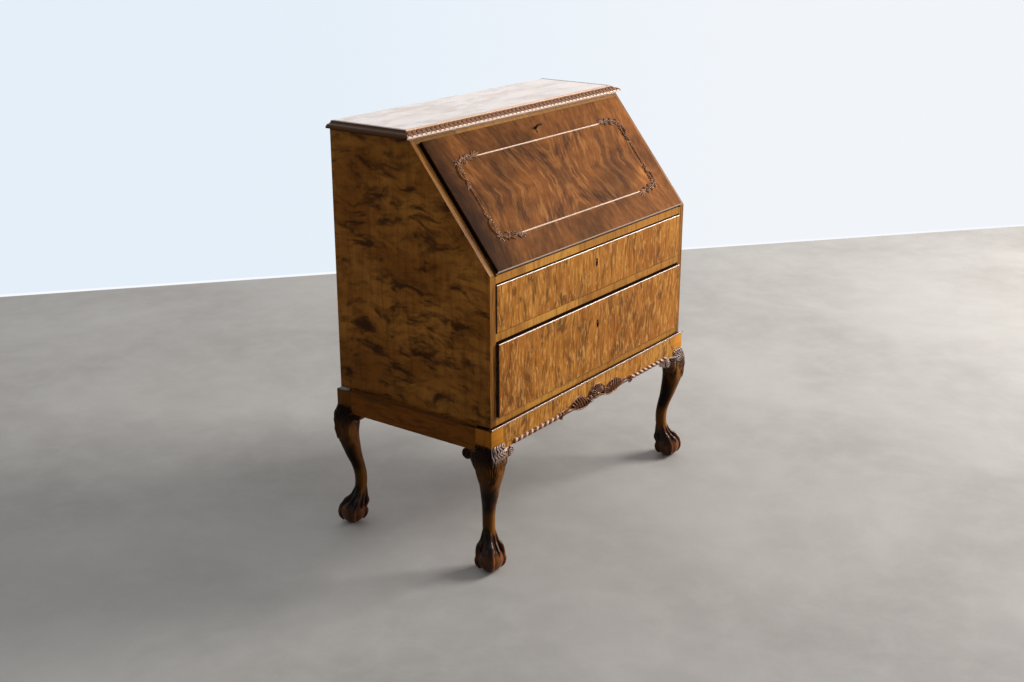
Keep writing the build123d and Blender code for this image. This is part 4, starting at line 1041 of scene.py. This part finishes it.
def ball_skin():
    """The ball, flat where it stands."""
    profile = [(0.6, -30.0)]
    for angle in np.linspace(-70, 76, 34):
        a = math.radians(angle)
        profile.append((BALL * math.cos(a), max(BALL * math.sin(a), -30.0)))
    points, faces = lathe(profile, 64)
    return points + FOOT, faces


def foot_path(heading, route, count):
    """A path over the foot from (distance from its axis, height over the floor)."""
    h = np.array([math.cos(heading), math.sin(heading)])
    points = []
    for r, z in route:
        base = FOOT[0] + (leg_axis(z) - FOOT[0]) * smooth_step(z, 36, 56)
        points.append((base + h[0] * r, base + h[1] * r, z))
    return path_through(points, count)


def claw_skins(heading):
    """One claw: tendon, two knuckles and a talon round the ball."""
    path = foot_path(heading, ((13.0, 99), (15.0, 88), (18.5, 76), (24.5, 65), (30.0, 54), (32.0, 45),
                               (32.0, 37), (34.0, 28), (33.6, 20), (29.6, 11), (24.5, 5)), 60)
    radii = curve_through(np.linspace(0, 1, 11), (3.0, 4.2, 4.6, 5.2, 7.2, 6.0, 5.2, 6.6, 5.4, 4.0, 1.8),
                          np.linspace(0, 1, 60))
    return [tube(path, radii, 22)]


def web_skins(heading):
    """The ridge of skin between two claws, ending over the ball."""
    path = foot_path(heading, ((13.2, 95), (15.0, 84), (18.0, 72), (23.0, 60), (27.5, 50), (29.5, 43)), 30)
    return [tube(path, np.interp(np.linspace(0, 1, 30), (0, 0.5, 0.85, 1), (2.6, 3.4, 3.6, 2.0)), 16)]


parts = [leg_skin(), ball_skin()]
for quarter in range(4):
    parts += claw_skins(math.radians(45 + 90 * quarter))
    parts += web_skins(math.radians(90 * quarter))
leg_points, leg_faces, leg_normals = fused(parts, LEG_VOXEL)


def knee_leaf(points):
    """Height of the leaf carved over a knee: tongues that run together to a tip on the shank."""
    z = points[:, 2]
    centre = leg_axis(z)
    angle = np.degrees(np.arctan2(points[:, 1] - centre, points[:, 0] - centre)) - 45
    angle = np.abs((angle + 180) % 360 - 180)
    down = np.clip((336.0 - z) / 98.0, 0, 1.2)
    spread = 112.0 * np.clip(1 - down**1.25, 0, 1) ** 0.8
    spread = spread * (1 + 0.11 * np.cos(2 * math.pi * (down * 6.5 + 0.15)))
    across = angle / np.maximum(spread, 1e-3)
    inside = (1 - smooth_step(across, 0.90, 1.0)) * (down < 1) * smooth_step(down, 0.0, 0.03)
    lane = across * 5.2 + 0.25 * np.sin(2 * math.pi * down * 2.2)
    tongue = np.abs(np.cos(math.pi * lane)) ** 0.75
    curl = 0.5 + 0.5 * np.cos(2 * math.pi * (down * 4.2 - across * 1.3))
    height = (0.5 + 2.6 * tongue) * (1 - 0.45 * down) + 1.1 * curl * tongue
    groove = 1.5 * (1 - tongue) ** 2 * (1 - 0.5 * down)
    return inside * (height - groove)


leg_points = leg_points + leg_normals * (knee_leaf(leg_points)
                                         - 1.2 * smooth_step(leg_points[:, 2], 236, 262))[:, None]
leg_points[:, 2] = np.clip(leg_points[:, 2], 0.0, 336.6)
for axis, limit in ((0, LEG_REACH - HALF_WIDTH), (1, LEG_REACH_BACK - BACK)):
    over = np.maximum(leg_points[:, axis] - limit + 3.0, 0.0)
    leg_points[:, axis] += 3.0 * np.tanh(over / 3.0) - over
post_points, post_faces = box_skin((-40, -40, 317.6), (8, 8, 377.0), 0.7)


def place_leg(name, side_x, side_y):
    both, faces = joined([(leg_points, leg_faces), (post_points, post_faces)])
    placed = both * (side_x, side_y, 1) + (side_x * HALF_WIDTH, side_y * BACK, 0)
    if side_x * side_y < 0:
        faces = [f[::-1] for f in faces]
    indices = [0] * len(leg_faces) + [1] * len(post_faces)
    make_piece(name + "_carved", placed, faces, [LEG_WOOD, POST_WOOD], name, indices=indices)


for name, side_x, side_y in (("front_left_leg", -1, -1), ("front_right_leg", 1, -1),
                             ("back_left_leg", -1, 1), ("back_right_leg", 1, 1)):
    place_leg(name, side_x, side_y)


# Knee brackets: leaf scrolls that end in a volute, glued beside each knee

VOLUTE = (26.8, 303.4)
VOLUTE_RADIUS = 14.4
BRACKET_START, BRACKET_START_SIDE = 407.4, 198.4     # where front and side brackets meet the knee
BRACKET_SINK, BRACKET_DEPTH = 3.0, 19.0
REAR_SIZE = 0.58
BRACKET_GRID = ((-10, 248), (44, 320), 0.55)


def bracket_relief():
    """Bracket face over (away from the knee, height): thickness in front of the rail's face."""
    work = Relief(*BRACKET_GRID)
    arc = ((-8.5, 257), (-3.4, 266), (2.6, 277.0), (8.6, 286.5), (15.8, 294.0))
    outline = [(-8.5, 318.0), *path_through(arc, 30).tolist()]
    outline += spiral(VOLUTE, 0.617, VOLUTE_RADIUS, 0.633, VOLUTE_RADIUS, 34).tolist()
    edge = work.edge_distance(outline)
    keep = edge > 0
    shoulder = 9.2 * np.clip(1 - np.maximum(work.A, 0) / 24.0, 0, 1) ** 1.3 * smooth_step(work.B, 252, 292)
    work.H = np.where(keep, 1.4 + 1.2 * smooth_step(edge, 0, 2.5) + shoulder, -1.0)
    ground = work.H.copy()
    for (start, end), lift in zip((((-9, 314.8), (17, 316.0)), ((-9, 306.0), (13, 310.5)),
                                   ((-9, 297.0), (11.5, 303.5)), ((-9, 288.0), (11.0, 297.5)),
                                   ((-9, 279.0), (8.0, 290.0)), ((-9, 270.0), (3.6, 280.5))),
                                  (1.9, 2.2, 2.2, 2.1, 1.9, 1.5)):
        tongue = Relief(*BRACKET_GRID)
        middle = ((start[0] + end[0]) / 2, (start[1] + end[1]) / 2 - 0.9)
        tongue.stroke(path_through((start, middle, end), 12), [4.0, 3.7, 1.4], [lift, lift, 0.5])
        work.H = np.maximum(work.H, np.where(keep, ground + np.maximum(tongue.H, 0), -1.0))
    coil = spiral(VOLUTE, 0.25, 12.0, -2.2, 1.4, 90)
    work.stroke(coil, [2.6, 2.4, 2.0, 1.6], [4.6, 4.8, 5.4, 6.2], 1.0)
    work.stroke([VOLUTE, (VOLUTE[0] + 0.1, VOLUTE[1] + 0.1)], 2.6, 4.2, 2.6)
    work.H = np.where(keep, np.minimum(work.H, 12.6), -1.0)
    return work, keep, edge


bracket_work, bracket_keep, bracket_edge = bracket_relief()
bracket_parts = []
for side_x, side_y in product((-1, 1), repeat=2):
    def along_front(a, b, h, side_x=side_x, side_y=side_y):
        return np.stack([side_x * (BRACKET_START - a), side_y * (h - BRACKET_SINK - STAND_FRONT), b], -1)

    def along_side(a, b, h, side_x=side_x, side_y=side_y):
        size = REAR_SIZE if side_y > 0 else 1.0
        return np.stack([side_x * (STAND_HALF - BRACKET_SINK + h), side_y * (BRACKET_START_SIDE - size * a),
                         RAIL_LOW - size * (RAIL_LOW - b)], -1)

    for along in (along_front, along_side):
        bracket_parts.append(bracket_work.skin(along, -BRACKET_DEPTH, bracket_keep, bracket_edge))
make_piece("knee_brackets_carved", *joined(bracket_parts), [LEG_WOOD], "knee_brackets")


# Twisted mouldings: the rope under the front rail and the fine bead on the fall

def twisted(start, end, radius, pitch, cut, turns, hand, centre, facing, step, sides=22, taper=0.0):
    """Half-round with slanted strands. centre(u) gives the axis point, facing its outward direction;
    taper is the length at each end over which it thins."""
    count = max(int(abs(end - start) / step), 8)
    u = np.linspace(start, end, count)
    angle = np.linspace(-math.pi / 2, math.pi / 2, sides)
    U, T = np.meshgrid(u, angle, indexing="ij")
    phase = U / pitch + hand * turns * T / math.pi
    strand = np.abs(np.sin(math.pi * phase)) ** 0.55
    size = radius * (1 - cut * (1 - strand))
    thin = np.ones(len(u))
    if taper:
        thin = 0.12 + 0.88 * smooth_step(np.minimum(abs(u - start), abs(u - end)), 0, taper)
    size = size * thin[:, None]
    out, up = facing
    points = centre(U) + size[..., None] * (np.cos(T)[..., None] * out + np.sin(T)[..., None] * up)
    points[:, 0] = centre(U)[:, 0] - radius * thin[:, None] * up - 0.3 * out
    points[:, -1] = centre(U)[:, -1] + radius * thin[:, None] * up - 0.3 * out
    faces = [list(f) for f in grid_faces(count, sides)]
    last = sides - 1
    faces += [[i * sides, (i + 1) * sides, (i + 1) * sides + last, i * sides + last][::-1]
              for i in range(count - 1)]
    faces.append(list(range(sides)))
    faces.append([(count - 1) * sides + k for k in range(sides)][::-1])
    return outward(points.reshape(-1, 3), faces)


ROPE_RUN, ROPE_RADIUS = (169.0, 366.0), 6.6
ROW_REACH, SIDE_RUN = 277.0, (150.0, 223.0)


def rope_axis(u):
    return np.stack([u, np.full(u.shape, STAND_FRONT), np.full(u.shape, ROPE_HEIGHT)], -1)


rope = [twisted(side * ROPE_RUN[0], side * ROPE_RUN[1], ROPE_RADIUS, ROPE_LAY, 0.46, ROPE_TURNS, side,
                rope_axis, (FORWARD, UPWARD), 0.8) for side in (-1, 1)]
make_piece("rope_moulding_carved", *joined(rope), [ROPE_WOOD], "rope_moulding", sharp=60)

beads = []
for row in BEAD_ROWS:
    def row_axis(u, row=row):
        return slope_point(u, row, FALL_FACE)

    beads.append(twisted(-ROW_REACH, ROW_REACH, 2.0, 8.0, 0.34, 0.9, 1, row_axis, (OUT, -DOWN), 0.9, 12, 9.0))
for side in (-1, 1):
    def side_axis(u, side=side):
        return slope_point(side * BEAD_SIDE, u, FALL_FACE)

    beads.append(twisted(*SIDE_RUN, 2.5, 1000.0, 0.0, 0.0, 1, side_axis, (OUT, SIDEWAY), 3.0, 12))
bead_kinds = [int(k > 1) for k, bead in enumerate(beads) for face in bead[1]]
make_piece("fall_bead_carved", *joined(beads), [BEAD_ROW_WOOD, BEAD_WOOD], "fall_bead", "fall",
           indices=bead_kinds, sharp=60)


# Corner sprays of scrolls and leaves on the fall

def spray_relief():
    work = Relief((-9, -18), (112, 86), 0.6)

    def s(path, radius, height, **more):
        work.stroke(path, np.multiply(radius, 1.22), np.multiply(height, 1.12), **more)

    def limb(points, count, radius, height, **more):
        s(path_through(points, count), radius, height, **more)

    # the scroll down the side, swelling outwards, with its curled end
    limb(((18, 9), (8, 15), (0, 26), (-3, 38), (-1, 48), (5, 55)), 40, [1.6, 3.4, 3.9, 3.4, 2.6],
         [2.6, 4.2, 4.5, 4.2, 3.4], vein=0.42)
    s(spiral((8.6, 50.0), 0.40, 6.0, -1.35, 1.2, 40), [2.4, 2.1, 1.5], [3.4, 3.2, 4.2])
    limb(((15, 15), (8.5, 24), (6.5, 34), (9, 42)), 24, [1.2, 2.4, 1.2], [2.0, 3.4, 2.0], vein=0.4)
    for a0, b0, a1, b1 in ((7, 21, 19, 20), (6, 28, 19, 29.5), (6.5, 35, 17.5, 39)):
        limb(((a0, b0), ((a0 + a1) / 2, (b0 + b1) / 2 + 1.6), (a1, b1)), 14,
             [2.2, 2.9, 0.7], [3.2, 3.8, 1.4], vein=0.35)
    # the leaf that ends the side limb
    limb(((10, 54), (6, 61), (2.5, 69), (-2, 79)), 24, [2.6, 4.0, 2.6, 0.6], [3.6, 4.2, 3.2, 1.2],
         vein=0.45, ribs=0.25, rib_count=7)
    limb(((8, 58), (12, 64), (12.5, 71)), 14, [1.8, 2.6, 0.5], [2.6, 3.2, 1.0], vein=0.35)
    # the corner leaf
    limb(((17, 15), (10, 9), (2, 2)), 18, [2.2, 4.6, 0.9], [3.4, 4.3, 1.6], vein=0.45, ribs=0.25,
         rib_count=5)
    limb(((12, 8), (11, 2), (14, -3)), 12, [1.6, 2.4, 0.5], [2.8, 3.4, 1.0], vein=0.35)
    limb(((8, 13), (2, 12), (-4, 15)), 12, [1.6, 2.4, 0.5], [2.8, 3.4, 1.0], vein=0.35)
    # the limb along the row: two S-scrolls
    limb(((16, 11), (25, 4), (34, 2), (42, 6)), 34, [1.6, 3.0, 3.2, 2.4], [2.8, 4.0, 4.2, 3.4], vein=0.42)
    s(spiral((38.2, 10.6), -0.14, 5.2, 1.25, 1.1, 36), [2.2, 2.0, 1.4], [3.2, 3.0, 4.0])
    limb(((40, 5), (49, -2.5), (58, -2), (66, 3)), 34, [1.4, 2.8, 3.0, 2.0], [2.6, 3.8, 4.0, 3.0], vein=0.42)
    s(spiral((62.0, 6.6), -0.10, 4.6, 1.2, 1.0, 34), [2.0, 1.8, 1.2], [3.0, 2.8, 3.8])
    for a0, b0, a1, b1 in ((26, 7, 24, 16), (31, 8, 32.5, 18), (47, 2, 47, 11.5), (53, 1, 55.5, 12),
                           (30, 1, 34, -7), (52, -3, 57, -10)):
        limb(((a0, b0), ((a0 + a1) / 2 + 1.0, (b0 + b1) / 2), (a1, b1)), 12,
             [2.0, 2.6, 0.6], [3.0, 3.5, 1.2], vein=0.35)
    # the leaf fan that runs into the bead
    for a1, b1, lift in ((82, -11.5, 3.2), (92, -9.5, 3.6), (102, -4.2, 3.4), (88, 6.0, 3.0)):
        limb(((66, 2.5), ((66 + a1) / 2 + 1, (2.5 + b1) / 2 + (1.0 if b1 < 0 else -0.6)), (a1, b1)), 16,
             [1.6, 3.0, 2.8, 0.8], [2.6, lift + 0.5, lift, 1.2], vein=0.25)
    return work


spray_work = spray_relief()
spray_parts = []
for side in (-1, 1):
    for row, turn in ((BEAD_ROWS[0] - 3.0, 1), (BEAD_ROWS[1] + 3.0, -1)):
        def corner_place(a, b, h, side=side, row=row, turn=turn):
            return slope_point(side * (BEAD_SIDE + 6.0 - a), row + turn * b, FALL_FACE + h)

        spray_parts.append(spray_work.skin(corner_place, -0.6))
make_piece("fall_corner_sprays", *joined(spray_parts), [BEAD_WOOD], "fall_corner_carvings", "fall",
           sharp=60)


# The carved apron in the middle of the front rail

def apron_relief():
    work = Relief((-175, 308), (175, 364), 0.7)
    right_low = path_through(((0, 324.5), (14, 323.5), (28, 321), (42, 316.5), (56, 313.6), (78, 313.6),
                              (96, 317), (112, 322.5), (130, 325), (148, 324), (159, 319.5),
                              (165, 312.8)), 90)
    right_end = path_through(((165, 312.8), (171.5, 316), (173.5, 324), (172, 333)), 14)
    right_high = path_through(((172, 333), (160, 332.5), (145, 333.5), (131, 334.5), (119, 338), (106, 346),
                               (90, 351), (74, 349.5), (60, 342), (50, 335.5), (42, 336.5), (34, 345),
                               (22, 355.5), (0, 359.5)), 90)
    right = np.concatenate([right_low, right_end[1:], right_high[1:]])
    left = right[::-1] * (-1, 1)
    outline = np.concatenate([right, left[1:-1]])
    edge = work.edge_distance(outline)
    keep = edge > 0
    work.H = np.where(keep, 2.6 + 1.0 * smooth_step(edge, 0, 4.0), -1.0)
    s = work.stroke
    for m in (-1, 1):
        def p(*points):
            return path_through([(m * x, z) for x, z in points], 26)
        # smooth cyma band along the lower edge, with the hook at its end
        s(p((100, 321.5), (114, 326.2), (130, 328.8), (146, 328.0), (158, 324)),
          [2.2, 3.6, 4.2, 4.0, 2.8], [4.0, 6.4, 7.4, 7.0, 5.0], 3.4)
        s(p((171, 331), (169, 323), (164.5, 315)), [2.8, 4.8, 1.8], [5.0, 7.0, 3.4], 3.2, vein=0.3)
        s(p((160, 330), (163, 324), (161.5, 318.5)), [1.8, 2.8, 1.2], [4.6, 5.6, 2.8], 3.0)
        # the lower rim of the leaf, from the band to the middle
        s(p((104, 322), (92, 318.6), (76, 316.2), (60, 316.2), (46, 318.8), (32, 323.4), (18, 326.4)),
          [2.0, 2.6, 2.8, 2.8, 2.7, 2.4, 1.6], [5.0, 6.0, 6.6, 7.0, 6.8, 5.8, 4.4], 3.0)
        # gouged leaf, strands leaning to its lower end
        for k in range(7):
            t = k / 6
            rise = math.sin(math.pi * min(1.0, 0.12 + 0.72 * t) ** 0.9) ** 0.8
            x0, z0 = 120.0 - 62.0 * t, 334.5 + 14.5 * rise
            x1, z1 = 104.0 - 68.0 * t, 324.0 - 4.2 * math.sin(math.pi * t)
            s(p((x0, z0 - 1.5), (x0 * 0.55 + x1 * 0.45 + 1.2, z0 * 0.55 + z1 * 0.45 + 0.6), (x1, z1)),
              [1.6, 3.5, 3.4, 1.5], [4.0, 8.4, 8.2, 4.6], 2.0)
        # the curl between the leaf and the shell, and the drop below it
        s(spiral((m * 34.0, 331.5), 0.25, 7.0, m * -1.5, 1.5, 54), [2.8, 2.6, 1.8], [5.6, 6.2, 7.6], 3.2)
        s(p((40, 322.5), (32, 321.4), (24, 324.2), (18, 327.0)),
          [1.2, 2.8, 2.8, 1.0], [4.0, 7.4, 7.0, 3.4], 3.0)
        s(p((30, 340), (27.5, 347), (20, 353.5)), [2.0, 3.0, 1.4], [5.0, 7.4, 4.4], 3.2, vein=0.30)
    # the shell in the middle, wider than high
    for k in range(-5, 6):
        lean = math.radians(90 + 15.5 * k)
        foot = (math.cos(lean) * 7, 333 + math.sin(lean) * 3)
        tip = (math.cos(lean) * 25.5, 333.5 + math.sin(lean) * 22.5)
        s(path_through((foot, ((foot[0] + tip[0]) / 2, (foot[1] + tip[1]) / 2), tip), 12),
          [0.9, 2.2, 3.2, 2.2], [3.6, 6.0, 8.2, 5.6], 3.0)
    s(path_through(((-15, 328), (0, 326.8), (15, 328)), 16), [1.6, 3.4, 1.6], [4.4, 7.6, 4.4], 3.0)
    s([(-4, 335.5), (4, 335.5)], 2.6, 6.4, 3.0)
    return work, keep, edge


apron_work, apron_keep, apron_edge = apron_relief()
apron_work.H = np.minimum(apron_work.H, 12.6)


def apron_place(a, b, h):
    return np.stack([a, STAND_FRONT - h, b], -1)


make_piece("apron_carved", *apron_work.skin(apron_place, 0.0, apron_keep, apron_edge), [APRON_WOOD],
           "apron_carving", sharp=55)


# The leaf-carved moulding round the front of the top

SEAT_TOP, CORE_HALF, CORE_BACK = CARCASE_TOP + 6.0, LIP_HALF - 30.0, 13.0


def moulding_profile():
    """Points (out from the core's edge towards the front, height) from under the lip to the top face."""
    points = [(-17.0, SEAT_TOP), (-17.0, SEAT_TOP + 3.0)]
    a, b = np.array([-17.0, SEAT_TOP + 3.0]), np.array([-7.0, 1055.5])
    c = np.array([3.0, LIP_TOP])
    for start, end, bulge in ((a, b, 1.6), (b, c, -1.6)):
        run = end - start
        side = np.array([-run[1], run[0]]) / np.hypot(*run)
        for t in np.linspace(0, 1, 14)[1:]:
            points.append(tuple(start + run * t + side * bulge * 4 * t * (1 - t)))
    return np.array(points)


def carved_length(x_start, x_end, step=0.75):
    line = moulding_profile()
    steps = np.r_[0, np.cumsum(np.hypot(*np.diff(line, axis=0).T))]
    fine = np.linspace(0, steps[-1], 34)
    line = np.stack([np.interp(fine, steps, line[:, k]) for k in (0, 1)], -1)
    ahead = np.gradient(line, axis=0)
    normal = np.stack([-ahead[:, 1], ahead[:, 0]], -1)
    normal /= np.linalg.norm(normal, axis=1)[:, None]
    v = fine / fine[-1]
    count = int((x_end - x_start) / step) + 1
    x = np.linspace(x_start, x_end, count)
    X, V = np.meshgrid(x, v, indexing="ij")
    lean = X / LEAF_UNIT - 1.05 * V
    part = lean % 1
    # slanted leaf with a rolled edge, cut by two finer gouges
    leaf = np.sqrt(np.clip(1 - ((part - 0.42) / 0.44) ** 2, 0, 1))
    rib = 0.5 + 0.5 * np.cos(2 * math.pi * (lean + 0.1))
    middle = smooth_step(V, 0.16, 0.26) * (1 - smooth_step(V, 0.80, 0.88))
    tooth = np.clip(1.15 - 1.3 * (X / LEAF_UNIT % 1), 0, 1)
    lower = (1 - smooth_step(V, 0.24, 0.30)) * smooth_step(V, 0.15, 0.19)
    beadlet = smooth_step(V, 0.84, 0.88) * (1 - smooth_step(V, 0.97, 1.0))
    cut = (middle * (1.7 - 2.6 * leaf - 0.55 * rib * leaf) + lower * (0.9 - 1.5 * tooth ** 0.6)
           - beadlet * 0.25)
    inset = -np.clip(cut, -1.1, 1.5)
    cut_out = np.minimum(inset, 0.0) - 0.35 * (V > 0.01) * (V < 0.99)
    rise = np.clip(inset, 0.0, 0.35)
    move = (cut_out + rise)[..., None]
    flat = np.stack([X, np.broadcast_to(line[:, 0], X.shape), np.broadcast_to(line[:, 1], X.shape)], -1)
    off = np.stack([np.zeros(len(line)), normal[:, 0], normal[:, 1]], -1)
    return flat + move * off, line


def front_moulding():
    grid, line = carved_length(-LIP_HALF, LIP_HALF)
    rows, columns = grid.shape[:2]
    # mitred ends: each profile point stops on the plane through the corner
    for k in range(columns):
        reach = LIP_HALF - (line[k, 0] + 17.0)
        grid[:, k, 0] = np.clip(grid[:, k, 0], -reach, reach)
    points = grid.reshape(-1, 3)
    faces = [list(f) for f in grid_faces(rows, columns)]
    back_low, back_high = (
        np.stack([np.clip(grid[:, edge, 0], -CORE_HALF, CORE_HALF), np.full(rows, CORE_BACK),
                  np.full(rows, height)], -1)
        for edge, height in ((0, SEAT_TOP), (-1, LIP_TOP)))
    base = len(points)
    points = np.concatenate([points, back_low, back_high])
    for i in range(rows - 1):
        low, high = i * columns, i * columns + columns - 1
        faces.append([low, low + columns, base + i + 1, base + i])
        faces.append([high, base + rows + i, base + rows + i + 1, high + columns])
        faces.append([base + i, base + i + 1, base + rows + i + 1, base + rows + i])
    faces.append([*range(columns), base + rows, base])
    last = (rows - 1) * columns
    faces.append([last + k for k in range(columns)][::-1] + [base + rows - 1, base + 2 * rows - 1])
    seat = box_skin((-HALF_WIDTH, SLANT_TOP_Y, CARCASE_TOP),
                    (HALF_WIDTH, CORE_BACK - 0.1, SEAT_TOP + 0.4), 0.3)
    return joined([outward(points, faces), seat])


make_piece("top_front_moulding_carved", *front_moulding(), [MOULDING_WOOD], "top_front_moulding",
           sharp=55)


# The key of the fall: shank with collars, ring bow and bit

def on_fall(side, along, off):
    """Points round the keyhole of the fall."""
    return slope_point(side, KEY_DOWN + along, off)


def key_parts():
    shank, shank_faces = lathe([(0.4, -2.0), (3.0, -2.0), (3.0, 12.5), (3.9, 13.0), (3.9, 14.4), (3.1, 14.9),
                                (2.7, 16.0), (3.3, 16.6), (3.3, 17.4), (2.4, 18.0), (2.2, 19.4), (1.9, 20.4),
                                (0.5, 20.6)], 28)
    turn = np.linspace(0, 2 * math.pi, 61)
    bow = on_fall(9.6 * np.cos(turn), np.zeros(61),
                  26.4 + 6.1 * np.sin(turn) + 0.9 * np.abs(np.cos(turn)) ** 3)
    bit, bit_faces = box_skin((0.0, -1.2, -2.0), (8.0, 1.2, 3.0), 0.25)
    return [(on_fall(*shank.T), shank_faces), tube(bow, 1.45, 12), (on_fall(*bit.T), bit_faces)]


make_piece("key_iron", *outward(*joined(key_parts())), [STEEL], "key", "fall_key", "iron", sharp=45)


# Turned knobs of the small drawers

KNOB_X, KNOB_Y, KNOB_Z = 280.0, 17.0, 797.25


def knob(x):
    profile = [(0.3, 0.0), (6.0, 0.0), (6.2, 0.8), (5.6, 1.5), (3.3, 2.2), (2.7, 4.4), (3.2, 6.2),
               (5.6, 7.8), (7.6, 10.2), (7.9, 12.4), (7.2, 14.8), (5.4, 16.6), (3.0, 17.6), (0.3, 17.95)]
    points, faces = lathe(profile, 40)
    return np.stack([x + points[:, 0], KNOB_Y - points[:, 2], KNOB_Z + points[:, 1]], -1), faces


for side, name in ((-1, "left"), (1, "right")):
    make_piece(f"{name}_small_knob_turned", *outward(*knob(side * KNOB_X)), [BRASS],
               f"{name}_small_drawer_knob", f"{name}_small_drawer", "brass", sharp=40)
